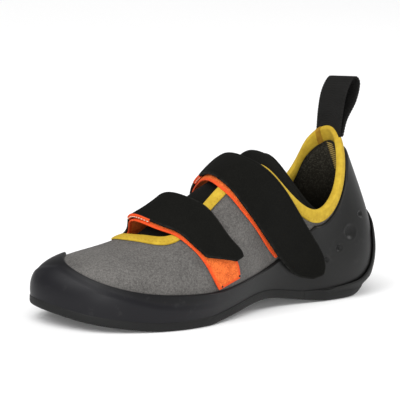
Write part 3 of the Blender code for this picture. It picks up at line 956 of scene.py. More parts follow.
class Finishes(Enum):
    """Every finish of the shoe."""

    SUEDE = Suede("suede_nap", (0.047, 0.0445, 0.042), (0.168, 0.160, 0.151), 0.95)
    RAND = Rubber("rand_rubber_moulded", (0.0068, 0.0068, 0.0066), (0.0100, 0.0100, 0.0097), 0.44,
                  (0.0062, 0.0060, 0.0078))
    HEEL = Rubber("heel_rubber_moulded", (0.0068, 0.0068, 0.0066), (0.0100, 0.0100, 0.0097), 0.44,
                  (0.0062, 0.0060, 0.0078))
    SOLE = Rubber("sole_rubber_sanded", (0.0085, 0.0085, 0.0082), (0.0130, 0.0130, 0.0124), 0.62,
                  (0.0088, 0.0088, 0.0088), 0.14)
    COVER = StrapCover("strap_cover_matt", (0.0034, 0.0034, 0.0028), (0.0062, 0.0062, 0.0052), 0.8)
    ORANGE = LoopCloth("strap_loop_cloth", (0.52, 0.074, 0.015), (0.87, 0.186, 0.040), 0.85)
    TAPE = Tape("binding_tape_folded", (0.43, 0.275, 0.021), (0.60, 0.415, 0.039), 0.8)
    WORN_TAPE = Tape("binding_tape_worn", (0.25, 0.125, 0.012), (0.42, 0.235, 0.020), 0.85)
    LINING = Fleece("lining_knit", (0.0045, 0.0037, 0.002), (0.120, 0.112, 0.090), 0.95)
    TONGUE = Weave("tongue_cloth_weave", (0.0025, 0.0025, 0.0022), (0.0074, 0.0074, 0.0062), 0.9, 1.1, 0.2)
    FOOTBED = Weave("footbed_cloth_weave", (0.010, 0.010, 0.009), (0.030, 0.028, 0.024), 0.95, 0.9, 0.15)
    WEBBING = Weave("webbing_yarns", (0.0055, 0.0055, 0.005), (0.016, 0.0155, 0.015), 0.85, 0.55, 0.12)
    CREAM_THREAD = Thread("thread_cream", (0.55, 0.42, 0.30), (0.80, 0.68, 0.52), 0.7)
    OCHRE_THREAD = Thread("thread_ochre", (0.42, 0.27, 0.055), (0.72, 0.52, 0.14), 0.75)
    BLACK_THREAD = Thread("thread_black", (0.006, 0.005, 0.004), (0.014, 0.012, 0.010), 0.7)


@dataclass
class Shop:
    """Keeps the made materials and registers finished pieces with the frame."""

    made: dict[Finishes, bpy.types.Material] = field(default_factory=dict)

    def finish(self, which: Finishes) -> bpy.types.Material:
        """The material of a finish, made once.

        Args:
            which: The finish.

        Returns:
            Its material.
        """
        if which not in self.made:
            self.made[which] = which.value.material()
        return self.made[which]

    def dress(self, piece: Piece, *finishes: Finishes) -> None:
        """Give a piece its finishes, one slot each.

        Args:
            piece: Piece to dress.
            finishes: Its finishes, in the order of the slots.
        """
        piece.data.materials.clear()
        for which in finishes:
            piece.data.materials.append(self.finish(which))

    def hand_in(self, piece: Piece, slot: str, *nodes: str) -> Piece:
        """Set a piece on the body and hide the solids that it stands for.

        Args:
            piece: Finished piece.
            slot: Not used.
            nodes: Solids that the piece stands for.

        Returns:
            The same piece.
        """
        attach(piece, BODY)
        if nodes:
            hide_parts(*nodes)
        log.info("%s: %d faces", piece.name, len(piece.data.polygons))
        return piece


@dataclass
class Sole:
    """Outsole with toe spring and raised waist, and the footbed on it."""

    shop: Shop
    stations: int = 200
    across: int = 26
    # Inset and share of the thickness, down the edge from above.
    edge: tuple[tuple[float, float], ...] = (
        (3.5, 1.0), (1.2, 1.0), (0.45, 0.99), (0.12, 0.95), (0.0, 0.88), (0.0, 0.74), (0.0, 0.66),
        (0.0, 0.58), (0.0, 0.48), (0.05, 0.36), (0.2, 0.25), (0.5, 0.15), (1.0, 0.07), (1.7, 0.02),
        (2.6, 0.0))
    lip: float = 0.55           # depth of the groove under the lip at the heel
    lip_share: float = 0.66     # its place in the thickness
    lip_width: float = 0.06
    hand: float = 0.12          # waviness of a hand-trimmed edge
    footbed_inset: float = 2.8
    footbed_thick: float = 2.0
    footbed_cup: float = 1.4

    def ribs(self) -> tuple[Array, Array]:
        """Ribs of the outer and inner side at each station from heel to toe."""
        share = (1 - np.cos(np.linspace(0, np.pi, self.stations))) / 2
        return share * TOE_RIB, ROUND - share * TOE_RIB

    def outsole(self) -> Piece:
        """Model the outsole as closed sections from heel to toe.

        Returns:
            The finished piece.
        """
        out_rib, in_rib = self.ribs()
        heel = eased(np.linspace(0, 1, self.stations), 0.42, 0.2)
        sides = []
        for rib in (out_rib, in_rib):
            wave = self.hand * np.sin(rib * 5.1) * np.sin(rib * 1.7 + 1)
            profile = []
            for inset, share in self.edge:
                groove = self.lip * heel * hump(share - self.lip_share, self.lip_width)
                groove = groove + wave * (share < 0.9)
                reach = inset - SOLE_REACH + groove + heel_tuck(rib, share)
                profile.append(LAST.footprint(rib, reach, share * SOLE_THICK + 0 * rib))
            sides.append(np.array(profile))
        outer, inner = sides
        shares = np.linspace(0, 1, self.across + 1)[1:-1]
        under = [outer[-1] + (inner[-1] - outer[-1]) * s for s in shares]
        above = [inner[0] + (outer[0] - inner[0]) * s for s in shares]
        loop = np.concatenate((outer, under, inner[::-1], above, outer[:1])).transpose(1, 0, 2)
        piece = Bench.grid("sole_rubber", loop)
        Bench.weld(piece)
        Bench.smooth(piece, 50)
        self.shop.dress(piece, Finishes.SOLE)
        return self.shop.hand_in(piece, "sole_rubber", "outsole")

    def footbed(self) -> Piece:
        """Model the footbed, a little cupped towards its edge.

        Returns:
            The finished piece.
        """
        out_rib, in_rib = self.ribs()
        level = SOLE_THICK + GAP + self.footbed_thick
        edges, tops = ([LAST.footprint(rib, inset + 0 * rib, level + 0 * rib) for rib in (out_rib, in_rib)]
                       for inset in (self.footbed_inset, -SOLE_REACH))
        share = np.linspace(0, 1, self.across + 1)[None, :, None]
        points = edges[0][:, None] * (1 - share) + edges[1][:, None] * share
        ruled = tops[0][:, None] * (1 - share) + tops[1][:, None] * share
        width = np.linalg.norm(edges[0] - edges[1], axis=1)[:, None]
        cup = self.footbed_cup * np.abs(2 * share[..., 0] - 1)**4 * eased(width, 0, 30)
        points[..., 2] = ruled[..., 2] + cup
        piece = Bench.grid("footbed", points[:, ::-1])
        Bench.weld(piece)
        Bench.wall(piece, self.footbed_thick, -1.0)
        Bench.smooth(piece)
        self.shop.dress(piece, Finishes.FOOTBED)
        return self.shop.hand_in(piece, "footbed_cloth", "insole")


@dataclass(frozen=True)
class Crease:
    """A soft ridge or trough between two places on the last."""

    start: tuple[float, float]
    end: tuple[float, float]
    width: float
    height: float

    def relief(self, points: Array) -> Array:
        """Height of the crease at each point.

        Args:
            points: Points of a surface, in millimetres.

        Returns:
            Heights, negative in a trough.
        """
        ends = LAST.on(np.array((self.start[0], self.end[0])), np.array((self.start[1], self.end[1])))
        line = ends[1] - ends[0]
        share = np.clip((points - ends[0]) @ line / (line @ line), 0, 1)
        away = np.linalg.norm(points - (ends[0] + share[..., None] * line), axis=-1)
        return self.height * hump(away, self.width) * np.sin(np.pi * np.clip(share, 0.04, 0.96))


@dataclass
class UpperShell:
    """Suede upper with its lining, open at collar, throat and underneath."""

    shop: Shop
    per_rib: int = 16
    levels: int = 56
    creases: tuple[Crease, ...] = (
        Crease((9.9, .56), (10.6, .80), 2.2, 0.45), Crease((9.3, .62), (10.2, .66), 2.5, -0.35),
        Crease((8.2, .62), (7.3, .80), 3.0, 0.4), Crease((7.9, .50), (7.1, .62), 3.0, -0.35),
        Crease((5.6, .50), (6.2, .74), 3.5, -0.4), Crease((12.2, .50), (12.9, .72), 3.0, -0.45),
        Crease((15.2, .55), (16.0, .75), 3.5, -0.45), Crease((14.6, .42), (15.6, .50), 3.0, 0.35))

    def build(self) -> Piece:
        """Model the wall from feather line to top edge.

        Returns:
            The finished piece.
        """
        ribs = np.arange(ROUND * self.per_rib + 1) / self.per_rib
        heights = np.linspace(0, 1, self.levels + 1)
        points = LAST.on(ribs[None, :], heights[:, None])
        relief = sum(crease.relief(points) for crease in self.creases)
        relief = relief + 0.18 * ripple(points, 26, 0.4) * hump(heights[:, None] - 0.55, 0.3)
        piece = Bench.grid("suede_upper", lifted(points, relief))
        Bench.weld(piece)
        self.shop.dress(piece, Finishes.SUEDE, Finishes.LINING)
        Bench.wall(piece, UPPER_WALL, -1.0, inner_slot=1)
        Bench.smooth(piece)
        return self.shop.hand_in(piece, "suede", "upper")

    def heel_seam(self) -> Piece:
        """Sew the herringbone stitches that show on the lining at the heel.

        Returns:
            All stitches as one piece.
        """
        places = []
        for height in np.linspace(0.72, 0.9, 13):
            for side in (-1, 1):
                rib = np.array(side * 0.19)
                middle = LAST.off(rib, np.array(height), -UPPER_WALL - 0.25)
                near = LAST.off(rib + side * 0.1, np.array(height + 0.012), -UPPER_WALL - 0.25)
                places.append((middle, near - middle, -LAST.outward(rib, np.array(height))))
        piece = Bench.sewn("heel_lining_stitches", Bench.stitch(5.4, 0.6), places)
        self.shop.dress(piece, Finishes.OCHRE_THREAD)
        return self.shop.hand_in(piece, "binding_tape")


@dataclass(frozen=True)
class Dimple:
    """A round hollow moulded into the heel rubber."""

    rib: float
    height: float
    radius: float
    depth: float

    def relief(self, points: Array) -> Array:
        """Depth of the hollow at each point, with a thin raised rim.

        Args:
            points: Points of a surface, in millimetres.

        Returns:
            Heights, negative in the hollow.
        """
        middle = LAST.off(np.array(self.rib), np.array(self.height), HUG_GAP + RUBBER_THICK)
        away = np.linalg.norm(points - middle, axis=-1) / self.radius
        return -self.depth * eased(away, 1.05, 0.45) + 0.12 * hump(away - 1.15, 0.16)


@dataclass
class RubberShell:
    """Toe rand in two courses, heel cup with its dimples, and the sole's end turned up behind the heel."""

    shop: Shop
    rand_end: float = 5.5
    per_rib: int = 30
    foot_lift: float = 0.15
    course: float = 0.75        # how far the lower course stands out over the upper one
    step: float = 2.0           # half the run of the soft step between the courses
    tuck: float = 1.1           # how far the foot is drawn in behind the heel
    thin: float = 1.6
    # Height of the step on the last by distance from the toe, in ribs.
    step_rows: tuple[tuple[float, float], ...] = (
        (0.0, .31), (0.7, .24), (1.1, .20), (1.6, .17), (2.1, .14), (3.0, .10), (4.5, .07))
    dimples: tuple[Dimple, ...] = (
        Dimple(1.36, .60, 2.4, 1.4), Dimple(1.90, .56, 5.0, 1.5), Dimple(2.30, .48, 2.5, 1.4),
        Dimple(2.66, .40, 2.2, 1.4), Dimple(18.64, .60, 2.4, 1.4), Dimple(18.1, .56, 5.0, 1.5),
        Dimple(17.7, .48, 2.5, 1.4))
    # Half width of the strip in ribs by share of its height.
    strip_rows: tuple[tuple[float, float], ...] = (
        (0.0, 3.1), (0.06, 2.75), (0.1, 2.45), (0.13, 2.15), (0.16, 1.9), (0.2, 1.7), (0.28, 1.52),
        (0.39, 1.35), (0.6, 1.22), (0.8, 1.12), (1.0, 0.98))
    # Inset of the strip's foot by share of the sole's thickness, as the sole's own edge turns under.
    strip_foot: tuple[tuple[float, float], ...] = (
        (0.02, 1.7), (0.07, 1.0), (0.15, 0.5), (0.25, 0.2), (0.36, 0.05), (0.48, 0.0))
    strip_top: float = 0.45
    strip_thick: float = 1.4
    strip_lift: float = 0.6     # how far its back stands off the heel cup
    proud: float = 0.25         # how far the strip stands out over the sole's edge
    backs: int = 8

    def shell(self, name: str, start: float, end: float, shares: Array) -> Piece:
        """Model rubber between two ribs as a closed skin round the upper.

        Args:
            name: Name of the piece.
            start: First rib.
            end: Last rib.
            shares: Rows of the outer face, as shares of the rubber's height.

        Returns:
            The new piece.
        """
        ribs = np.linspace(start, end, int(abs(end - start) * self.per_rib) + 1)
        bottom = LAST.above_foot(ribs, self.foot_lift)
        top = LAST.rubber_top(ribs)
        heights = bottom + (top - bottom) * shares[:, None]
        size = np.linalg.norm(LAST.on(ribs, top) - LAST.on(ribs, bottom), axis=1)
        toe = np.abs(ribs % ROUND - TOE_RIB)
        step = np.interp(toe, *np.array(self.step_rows).T)
        fade = eased(toe, 4.3, 2.6)
        lower = eased((heights - step) * size / (top - bottom), self.step, -self.step)
        thick = RUBBER_THICK + (self.thin - RUBBER_THICK) * fade + self.course * fade * lower
        thick = thick - self.tuck * hump(ROUND / 2 - toe, 2.0) * eased(shares, 0.14, 0.0)[:, None]
        rim = (1 - shares[:, None]) * size * 0.9 + 0.35
        thick = np.minimum(thick, rim * RUBBER_THICK)
        outer = LAST.off(ribs[None, :], heights, HUG_GAP + thick)
        relief = sum(dimple.relief(outer) for dimple in self.dimples) + 0.1 * ripple(outer, 34, 1.1)
        lift = LAST.outward(ribs[None, :] + 0 * heights, heights) * (relief * np.minimum(rim, 1))[..., None]
        back = np.linspace(1, 0, self.backs)[:, None]
        inner = LAST.off(ribs[None, :], bottom + (top - bottom) * back, HUG_GAP)
        outer = outer + lift
        for row in (outer[0], inner[-1]):
            row[:, 2] -= self.foot_lift + FEATHER_GAP
        loop = np.concatenate((outer, inner, outer[:1]))
        above = np.zeros(loop.shape[:2])
        above[:len(shares)] = fade * np.maximum((heights - step) * size / (top - bottom), 0)
        piece = Bench.grid(name, loop, above)
        Bench.weld(piece, fill=True)
        Bench.smooth(piece, 50)
        return piece

    def toe_rand(self) -> Piece:
        """Model the rand round the toes.

        Returns:
            The finished piece.
        """
        shares = np.concatenate((np.linspace(0, .06, 5), np.linspace(.08, .92, 52), np.linspace(.94, 1, 7)))
        piece = self.shell("toe_rand_rubber", self.rand_end, ROUND - self.rand_end, shares)
        self.shop.dress(piece, Finishes.RAND)
        return self.shop.hand_in(piece, "rand_rubber", "toe_rand")

    def heel_cup(self) -> Piece:
        """Model the rubber round the heel and along the waist.

        Returns:
            The finished piece.
        """
        shares = np.concatenate((np.linspace(0, .03, 4), np.linspace(.04, .97, 84), np.linspace(.98, 1, 4)))
        piece = self.shell("heel_cup_rubber", -self.rand_end, self.rand_end, shares)
        self.shop.dress(piece, Finishes.HEEL)
        return self.shop.hand_in(piece, "heel_rubber", "heel_cup")

    def heel_strip(self) -> Piece:
        """Model the end of the sole that wraps the heel: over the sole's edge, then up to a rounded top.

        Returns:
            The finished piece.
        """
        low = np.array((0.03, 0.05, 0.08, 0.12, 0.18, 0.26, 0.36, 0.5, 0.65, 0.8, 0.95))
        high = np.concatenate((np.linspace(0, 0.3, 16), np.linspace(0.33, 0.97, 26),
                               (0.985, 0.993, 0.997, 1.0)))
        halves = np.interp(high, *np.array(self.strip_rows).T)
        halves = halves * np.sqrt(np.clip(1 - (np.clip(high - 0.84, 0, 1) / 0.17)**2, 0.02, 1))
        share = 2 * bunched(50)[None, :] - 1
        ribs = halves[0] * share + 0 * low[:, None]
        inset = np.interp(low, *np.array(self.strip_foot).T)[:, None]
        level = low[:, None]
        reach = inset - SOLE_REACH - self.proud + heel_tuck(ribs, level)
        sole = LAST.footprint(ribs, reach, level * SOLE_THICK)
        ribs = halves[:, None] * share
        bottom = LAST.above_foot(ribs, self.foot_lift)
        heights = bottom + (self.strip_top - bottom) * high[:, None]
        flush = SOLE_REACH + self.proud - heel_tuck(ribs, 1.0)
        full = HUG_GAP + RUBBER_THICK + self.strip_thick + self.strip_lift
        wall = LAST.off(ribs, heights, flush + (full - flush) * eased(high, 0.0, 0.2)[:, None])
        face = np.concatenate((sole, wall))
        lower = lifted(face, np.full(face.shape[:2], -self.strip_thick))
        loop, _ = padded_loop(lower, self.strip_thick, 0 * lower[..., 0])
        piece = Bench.grid("heel_strip_rubber", loop)
        Bench.weld(piece)
        Bench.smooth(piece, 60)
        self.shop.dress(piece, Finishes.SOLE)
        return self.shop.hand_in(piece, "sole_rubber", "heel_strip")


@dataclass
class Binding:
    """Tape folded over the whole top edge of collar and throat."""

    shop: Shop
    per_rib: int = 20
    puff: float = 0.35
    inner_leg: float = 8.6
    lap: tuple[float, float] = (19.42, 19.62)   # ribs between which the ends overlap
    lap_lift: float = 0.35

    def profile(self) -> list[tuple[float, float]]:
        """Outline of the folded tape: distance below the top edge and offset from the outer face.

        Returns:
            Corners of the outline, from the outer leg's foot over the fold and back.
        """
        middle = -UPPER_WALL / 2
        half = UPPER_WALL / 2 + BINDING_TURN
        outer = [(below, BINDING_TURN + self.puff * np.sin(np.pi * below / BINDING_LEG))
                 for below in np.linspace(BINDING_LEG - 0.25, 0.3, 10)]
        fold = [(-BINDING_TURN * np.sin(turn), middle + half * np.cos(turn))
                for turn in np.linspace(0.15, np.pi - 0.15, 9)]
        inner = [(below, middle - half - self.puff * np.sin(np.pi * below / self.inner_leg))
                 for below in np.linspace(0.3, self.inner_leg - 0.25, 10)]
        lining = -UPPER_WALL - HUG_GAP
        low_in = [(self.inner_leg, -UPPER_WALL - BINDING_TURN + 0.35), (self.inner_leg, lining)]
        back = [(3.0, lining), (-0.3, lining), (-0.3, HUG_GAP), (3.0, HUG_GAP)]
        low_out = [(BINDING_LEG, HUG_GAP), (BINDING_LEG, BINDING_TURN - 0.35)]
        return outer + fold + inner + low_in + back + low_out

    def rings(self, ribs: Array, grow: float = 0.0) -> Array:
        """Rows of the tape at the given ribs, grown outwards for a second layer.

        Args:
            ribs: Places round the last, in ribs.
            grow: Distance by which the layer lies outside the tape.

        Returns:
            Points by rib and corner of the outline.
        """
        rings = []
        middle = -UPPER_WALL / 2
        for below, away in self.profile():
            heights = LAST.below_top(ribs, max(below, 0.0))
            wide = away + grow * np.sign(away - middle)
            rise = max(-below, 0.0) + grow * (below < 0.3)
            rings.append(LAST.off(ribs, heights, np.full_like(ribs, wide)) + LAST.arrival(ribs) * rise)
        rings.append(rings[0])
        return np.array(rings).transpose(1, 0, 2)

    def build(self) -> Piece:
        """Model the tape all the way round.

        Returns:
            The finished piece.
        """
        piece = Bench.grid("binding_tape", self.rings(np.arange(ROUND * self.per_rib + 1) / self.per_rib))
        Bench.weld(piece)
        Bench.smooth(piece, 60)
        self.shop.dress(piece, Finishes.TAPE)
        return self.shop.hand_in(piece, "binding_tape", "collar_binding")

    def joint(self) -> Piece:
        """Model the short lap where the ends of the tape meet near the heel.

        Returns:
            The finished piece.
        """
        piece = Bench.grid("binding_lap", self.rings(np.linspace(*self.lap, 9), self.lap_lift))
        Bench.weld(piece, fill=True)
        Bench.smooth(piece, 50)
        self.shop.dress(piece, Finishes.WORN_TAPE)
        return self.shop.hand_in(piece, "binding_tape")


def arch(start: Array, end: Array, up: tuple[Array, Array], forward: tuple[Array, Array],
         share: float) -> Array:
    """Point of a curve over the throat, moved up and forward from the line at its two thirds.

    Args:
        start: Outer end.
        end: Inner end.
        up: Rise at the outer and the inner third.
        forward: Move towards the toe at both thirds.
        share: Share of the way from start to end.

    Returns:
        The point.
    """
    near = start + (end - start) / 3 + stacked(forward[0], 0, up[0])
    far = start + (end - start) * 2 / 3 + stacked(forward[1], 0, up[1])
    return ((1 - share)**3 * start + 3 * (1 - share)**2 * share * near
            + 3 * (1 - share) * share**2 * far + share**3 * end)


@dataclass(frozen=True)
class StrapShape:
    """Fold lines of one strap, and its arch over the throat.

    Each fold gives front rib, front height, rear rib, rear height and depth of the stack below. The arch
    gives up_out, up_in, forward_out and forward_in for the front and the rear edge.
    """

    folds: dict[str, tuple[float, ...]]
    front_arch: tuple[float, ...]
    rear_arch: tuple[float, ...]
    thick: float
    end_round: tuple[float, float]      # length of the rounded end in folds, and its share of the width
    higher: float = 0.0         # extra rise of the arch
    across: int = 34
    per_fold: int = 10
    over: int = 44              # rows over the throat
    settle: int = 30            # passes of smoothing along the strap

    def columns(self) -> Array:
        """Shares of the width, from the rear edge to the front edge."""
        return bunched(self.across)[::-1]

    def wall(self, rows: list[tuple[float, ...]], ended: bool) -> Array:
        """Points on the side of the shoe, from the first fold to the last.

        Args:
            rows: Fold lines, from first to last.
            ended: Whether the first end is rounded.

        Returns:
            Points by row along the strap and column across it.
        """
        last = len(rows) - 1
        steps = np.linspace(0, last, last * self.per_fold + 1)
        width = np.ones_like(steps)
        if ended:
            length, share = self.end_round
            close = length * (1 - np.cos(np.linspace(0, np.pi / 2, 12)))
            steps = np.unique(np.concatenate((close, steps[steps > length])))
            width = 1 - share * (1 - np.sqrt(1 - np.clip(1 - steps / length, 0, 1)**2))
        across = 0.5 + (self.columns()[None, :] - 0.5) * width[:, None]
        front_rib, front_height, rear_rib, rear_height, below = OpenCurve(rows)(steps).T[..., None]
        ribs = front_rib + (rear_rib - front_rib) * across
        heights = np.clip(front_height + (rear_height - front_height) * across, 0, 1)
        return LAST.off(ribs, heights, below + 0 * across)

    def points(self) -> Array:
        """Points of the strap's lower face, from its free end to its seam on the inner side.

        Returns:
            Points by row along the strap and column across it.
        """
        names = list(self.folds)
        cut = names.index("edge_out") + 1
        outer = self.wall([self.folds[name] for name in names[:cut]], True)
        inner = self.wall([self.folds[name] for name in names[cut:]], False)
        base = self.columns()[:, None]
        bulge = np.array(self.front_arch) * (1 - base) + np.array(self.rear_arch) * base
        up = (bulge[:, 0] + self.higher, bulge[:, 1] + self.higher)
        forward = (bulge[:, 2], bulge[:, 3])
        shares = np.linspace(0, 1, self.over + 1)[1:-1]
        over = [arch(outer[-1], inner[0], up, forward, share) for share in shares]
        rows = np.concatenate((outer, np.array(over), inner))
        for _ in range(self.settle):
            rows[14:-1] = (rows[13:-2] + 2 * rows[14:-1] + rows[15:]) / 4
        seam = [rows[-2] + (rows[-1] - rows[-2]) * share for share in (0.3, 0.55, 0.75, 0.9)]
        return np.concatenate((rows[:-1], np.array(seam), rows[-1:]))


@dataclass
class StrapPair:
    """A cover strap and the lined strap below it."""

    shop: Shop
    place: str
    cover: StrapShape
    under: StrapShape
    turn: float = -13.0         # where the lined strap turns down on the inner side
    hemmed: tuple[float, float] = (6.0, -15.0)      # reach of the hem across the foot
    tacked: tuple[tuple[float, float], ...] = ()    # rib and height of each dark tack
    seam_inset: float = 2.4
    seam_width: float = 0.6
    wave: float = 0.22

    def strap(self, name: str, shape: StrapShape, border: float, slots: Array | None = None) -> Piece:
        """Model one strap with its sewn border.

        Args:
            name: Name of the piece.
            shape: Its fold lines and arch.
            border: Depth of the sunk seam along the edge.
            slots: Material slot of each row of its upper face.

        Returns:
            The new piece.
        """
        points = shape.points()
        edge = edge_distance(points)
        seam = hump(edge - self.seam_inset, self.seam_width)
        relief = -border * seam + self.wave * ripple(points, 24, 2.2) * eased(edge, 0, 6)
        loop, rim = padded_loop(points, shape.thick, relief)
        if slots is not None:
            upper = np.arange(loop.shape[1])[None, :] < points.shape[1]
            slots = slots[:, None] * upper
        piece = Bench.grid(name, loop, rim, slots)
        Bench.weld(piece)
        Bench.smooth(piece, 60)
        return piece

    def hem(self) -> None:
        """Fold a hem over the cover's front edge at its far corner and sew it with pale stitches."""
        points = self.cover.points()
        normal = unit(np.cross(np.gradient(points, axis=0), np.gradient(points, axis=1)))[:, -1]
        edge = points[:, -1]
        inward = unit(points[:, -8] - edge)
        near, far = self.hemmed
        rows = np.nonzero((edge[:, 1] < near) & (edge[:, 1] > far))[0]
        thick = self.cover.thick
        section = ((0.35, thick + .05), (.1, thick), (-.2, thick * .7), (-.45, thick * .35), (-.3, -.15),
                   (.4, -.35), (2.0, -.25), (2.0, thick / 2), (0.35, thick + .05))
        rings = [edge[rows] + inward[rows] * inset + normal[rows] * rise for inset, rise in section]
        piece = Bench.grid(self.place + "_strap_hem", np.array(rings).transpose(1, 0, 2))
        Bench.weld(piece, fill=True)
        Bench.smooth(piece, 60)
        self.shop.dress(piece, Finishes.ORANGE)
        self.shop.hand_in(piece, "strap_lining")
        places = []
        for row in rows[1:-1:2]:
            middle = edge[row] - 0.5 * inward[row] + normal[row] * thick * 0.15
            places.append((middle, edge[row + 1] - edge[row], -inward[row]))
        sewn = Bench.sewn(self.place + "_strap_stitches", Bench.stitch(1.5, 0.75), places)
        self.shop.dress(sewn, Finishes.CREAM_THREAD)
        self.shop.hand_in(sewn, "strap_lining")

    def tacks(self) -> None:
        """Sew the dark tacks at the corners of the lined strap's lower end."""
        places = []
        for rib, height in self.tacked:
            spot = np.array(rib), np.array(height)
            middle = LAST.off(*spot, 2.0)
            along = LAST.off(spot[0], spot[1] + 0.02, 2.0) - middle
            places.append((middle, along, LAST.outward(*spot)))
        if places:
            piece = Bench.sewn(self.place + "_strap_tacks", Bench.stitch(1.5, 1.1), places)
            self.shop.dress(piece, Finishes.BLACK_THREAD)
            self.shop.hand_in(piece, "strap_lining")

    def build(self) -> None:
        """Model both straps; the lined one shows its black face where it turns down on the inner side."""
        cover = self.strap(self.place + "_strap_cover", self.cover, 0.22)
        self.shop.dress(cover, Finishes.COVER)
        self.shop.hand_in(cover, "strap_cover", self.place + "_strap")
        inner_side = self.under.points()[..., 1].mean(axis=1) < self.turn
        under = self.strap(self.place + "_strap_lining", self.under, 0.0, inner_side.astype(int))
        self.shop.dress(under, Finishes.ORANGE, Finishes.COVER)
        self.shop.hand_in(under, "strap_lining", self.place + "_under_strap")
        self.hem()
        self.tacks()


FRONT_ARCH = ((1.6, 21.2, 5.5, 23.5), (11.2, 25.8, 9.0, 8.0))
REAR_ARCH = ((10.5, 8.6, 4.0, 3.0), (7.0, 16.5, 4.0, 5.5))
FRONT_COVER = StrapShape({
    "end":       (6.70, .53, 5.74, .35, 2.2),
    "corner":    (6.80, .58, 5.50, .385, 2.2),
    "side":      (7.05, .72, 5.95, .56, 2.2),
    "under_top": (7.38, .89, 6.25, .82, 3.6),
    "edge_out":  (7.70, 1.0, 6.45, 1.0, 4.4),
    "edge_in":   (12.4, 1.0, 13.25, 1.0, 4.4),
    "side_in":   (12.5, .78, 13.35, .76, 3.3),
    "seam_in":   (12.65, .56, 13.48, .54, 2.2),
}, *FRONT_ARCH, 2.0, (0.5, 0.10), 1.2)
FRONT_LINING = StrapShape({
    "anchor":    (6.20, .185, 5.42, .19, 0.6),
    "pad":       (6.45, .31, 5.55, .30, 0.5),
    "side":      (6.72, .49, 5.85, .45, 0.5),
    "middle":    (7.00, .67, 6.10, .65, 0.6),
    "under_top": (7.42, .87, 6.32, .84, 1.8),
    "edge_out":  (7.80, 1.0, 6.50, 1.0, 2.1),
    "edge_in":   (12.35, 1.0, 13.2, 1.0, 2.1),
    "side_in":   (12.45, .78, 13.3, .76, 1.4),
    "seam_in":   (12.6, .58, 13.45, .56, 0.5),
}, *FRONT_ARCH, 1.2, (0.15, 0.05))
REAR_COVER = StrapShape({
    "end":       (3.34, .18, 2.92, .18, 3.1),
    "corner":    (3.66, .23, 2.70, .27, 3.1),
    "on_rubber": (4.30, .36, 2.78, .48, 3.1),
    "side":      (5.00, .51, 3.15, .72, 2.6),
    "under_top": (5.50, .73, 3.86, .93, 2.9),
    "shoulder":  (5.72, .90, 4.58, .95, 4.5),
    "edge_out":  (5.86, 1.0, 5.07, 1.0, 5.1),
    "edge_in":   (14.86, 1.0, 15.55, 1.0, 4.4),
    "side_in":   (14.96, .78, 15.58, .78, 3.2),
    "seam_in":   (14.96, .56, 15.58, .58, 2.6),
}, *REAR_ARCH, 2.0, (0.6, 0.35), 1.2)
REAR_LINING = StrapShape({
    "end":       (4.06, .30, 3.62, .53, 0.7),
    "low":       (4.50, .375, 3.80, .60, 0.7),
    "side":      (5.00, .50, 4.10, .70, 0.6),
    "under_top": (5.48, .68, 4.50, .81, 0.8),
    "shoulder":  (5.76, .87, 4.80, .90, 1.9),
    "edge_out":  (5.95, 1.0, 5.05, 1.0, 2.3),
    "edge_in":   (14.78, 1.0, 15.5, 1.0, 2.1),
    "side_in":   (14.9, .78, 15.54, .78, 1.4),
    "seam_in":   (14.9, .60, 15.54, .62, 0.5),
}, *REAR_ARCH, 1.2, (0.15, 0.05))


@dataclass
class Tongue:
    """Padded tongue, tucked under both edges of the throat, with a free top behind the straps."""

    shop: Shop
    # rib of the tucked edge, arch at the outer and inner third, depth of both tucks, lean to the heel
    rows: dict[str, tuple[float, ...]] = field(default_factory=lambda: {
        "front":   (9.2, 0.0, 0.0, 12, 12, 0),
        "toe_end": (8.5, 3.0, 6.0, 12, 11, 0),
        "vamp":    (7.8, 10.0, 22.0, 11, 9, 0),
        "ball":    (7.0, 21.5, 31.5, 10, 6, 0),
        "instep":  (6.0, 21.0, 28.5, 9, 5, 0),
        "strap":   (5.3, 19.0, 20.0, 8, 5, 0),
        "rear":    (4.95, 22.0, 22.0, 7, 5, 2),
        "neck":    (4.6, 31.0, 26.0, 5, 5, 7),
        "top":     (4.2, 30.0, 20.0, 4, 4, 16),
    })
    notch: float = 1.7          # ribs by which its sides run further to the heel at the top
    in_clear: float = 1.2
    # Distance below the top edge, width and height of the sewn groove and of the roll above it.
    roll: tuple[tuple[float, float, float], ...] = ((5.0, 0.9, -0.5), (2.2, 1.6, 0.5))
    thick: float = 3.0
    cells: int = 40
    per_row: int = 10

    def build(self) -> Piece:
        """Model the pad and round its free edge.

        Returns:
            The finished piece.
        """
        steps = np.linspace(0, len(self.rows) - 1, (len(self.rows) - 1) * self.per_row + 1)
        first, arch_out, arch_in, tuck_out, tuck_in, lean = OpenCurve(list(self.rows.values()))(steps).T
        inside = -(UPPER_WALL + BINDING_TURN + 2 * GAP)
        columns = []
        for share in np.linspace(0, 1, self.cells + 1):
            aside = (2 * share - 1)**2 * self.notch
            ribs = first - aside * (first[0] - first) / (first[0] - first[-1])
            out_edge = LAST.off(ribs, LAST.below_top(ribs, tuck_out), inside + 0 * ribs)
            in_ribs = ROUND - ribs
            in_edge = LAST.off(in_ribs, LAST.below_top(in_ribs, tuck_in), inside - self.in_clear + 0 * ribs)
            columns.append(arch(out_edge, in_edge, (arch_out, arch_in), (-lean, -lean), share))
        points = np.array(columns).transpose(1, 0, 2)
        along, _ = measured(points)
        top = along[-1:] - along
        relief = sum(height * hump(top - below, width) for below, width, height in self.roll)
        relief = relief + 0.25 * ripple(points, 22, 3.0)
        piece = Bench.grid("tongue_pad", lifted(points, relief))
        Bench.wall(piece, self.thick, -1.0)
        Bench.round_edges(piece, 1.1, 4)
        Bench.smooth(piece, 60)
        self.shop.dress(piece, Finishes.TONGUE)
        return self.shop.hand_in(piece, "tongue_cloth", "tongue")


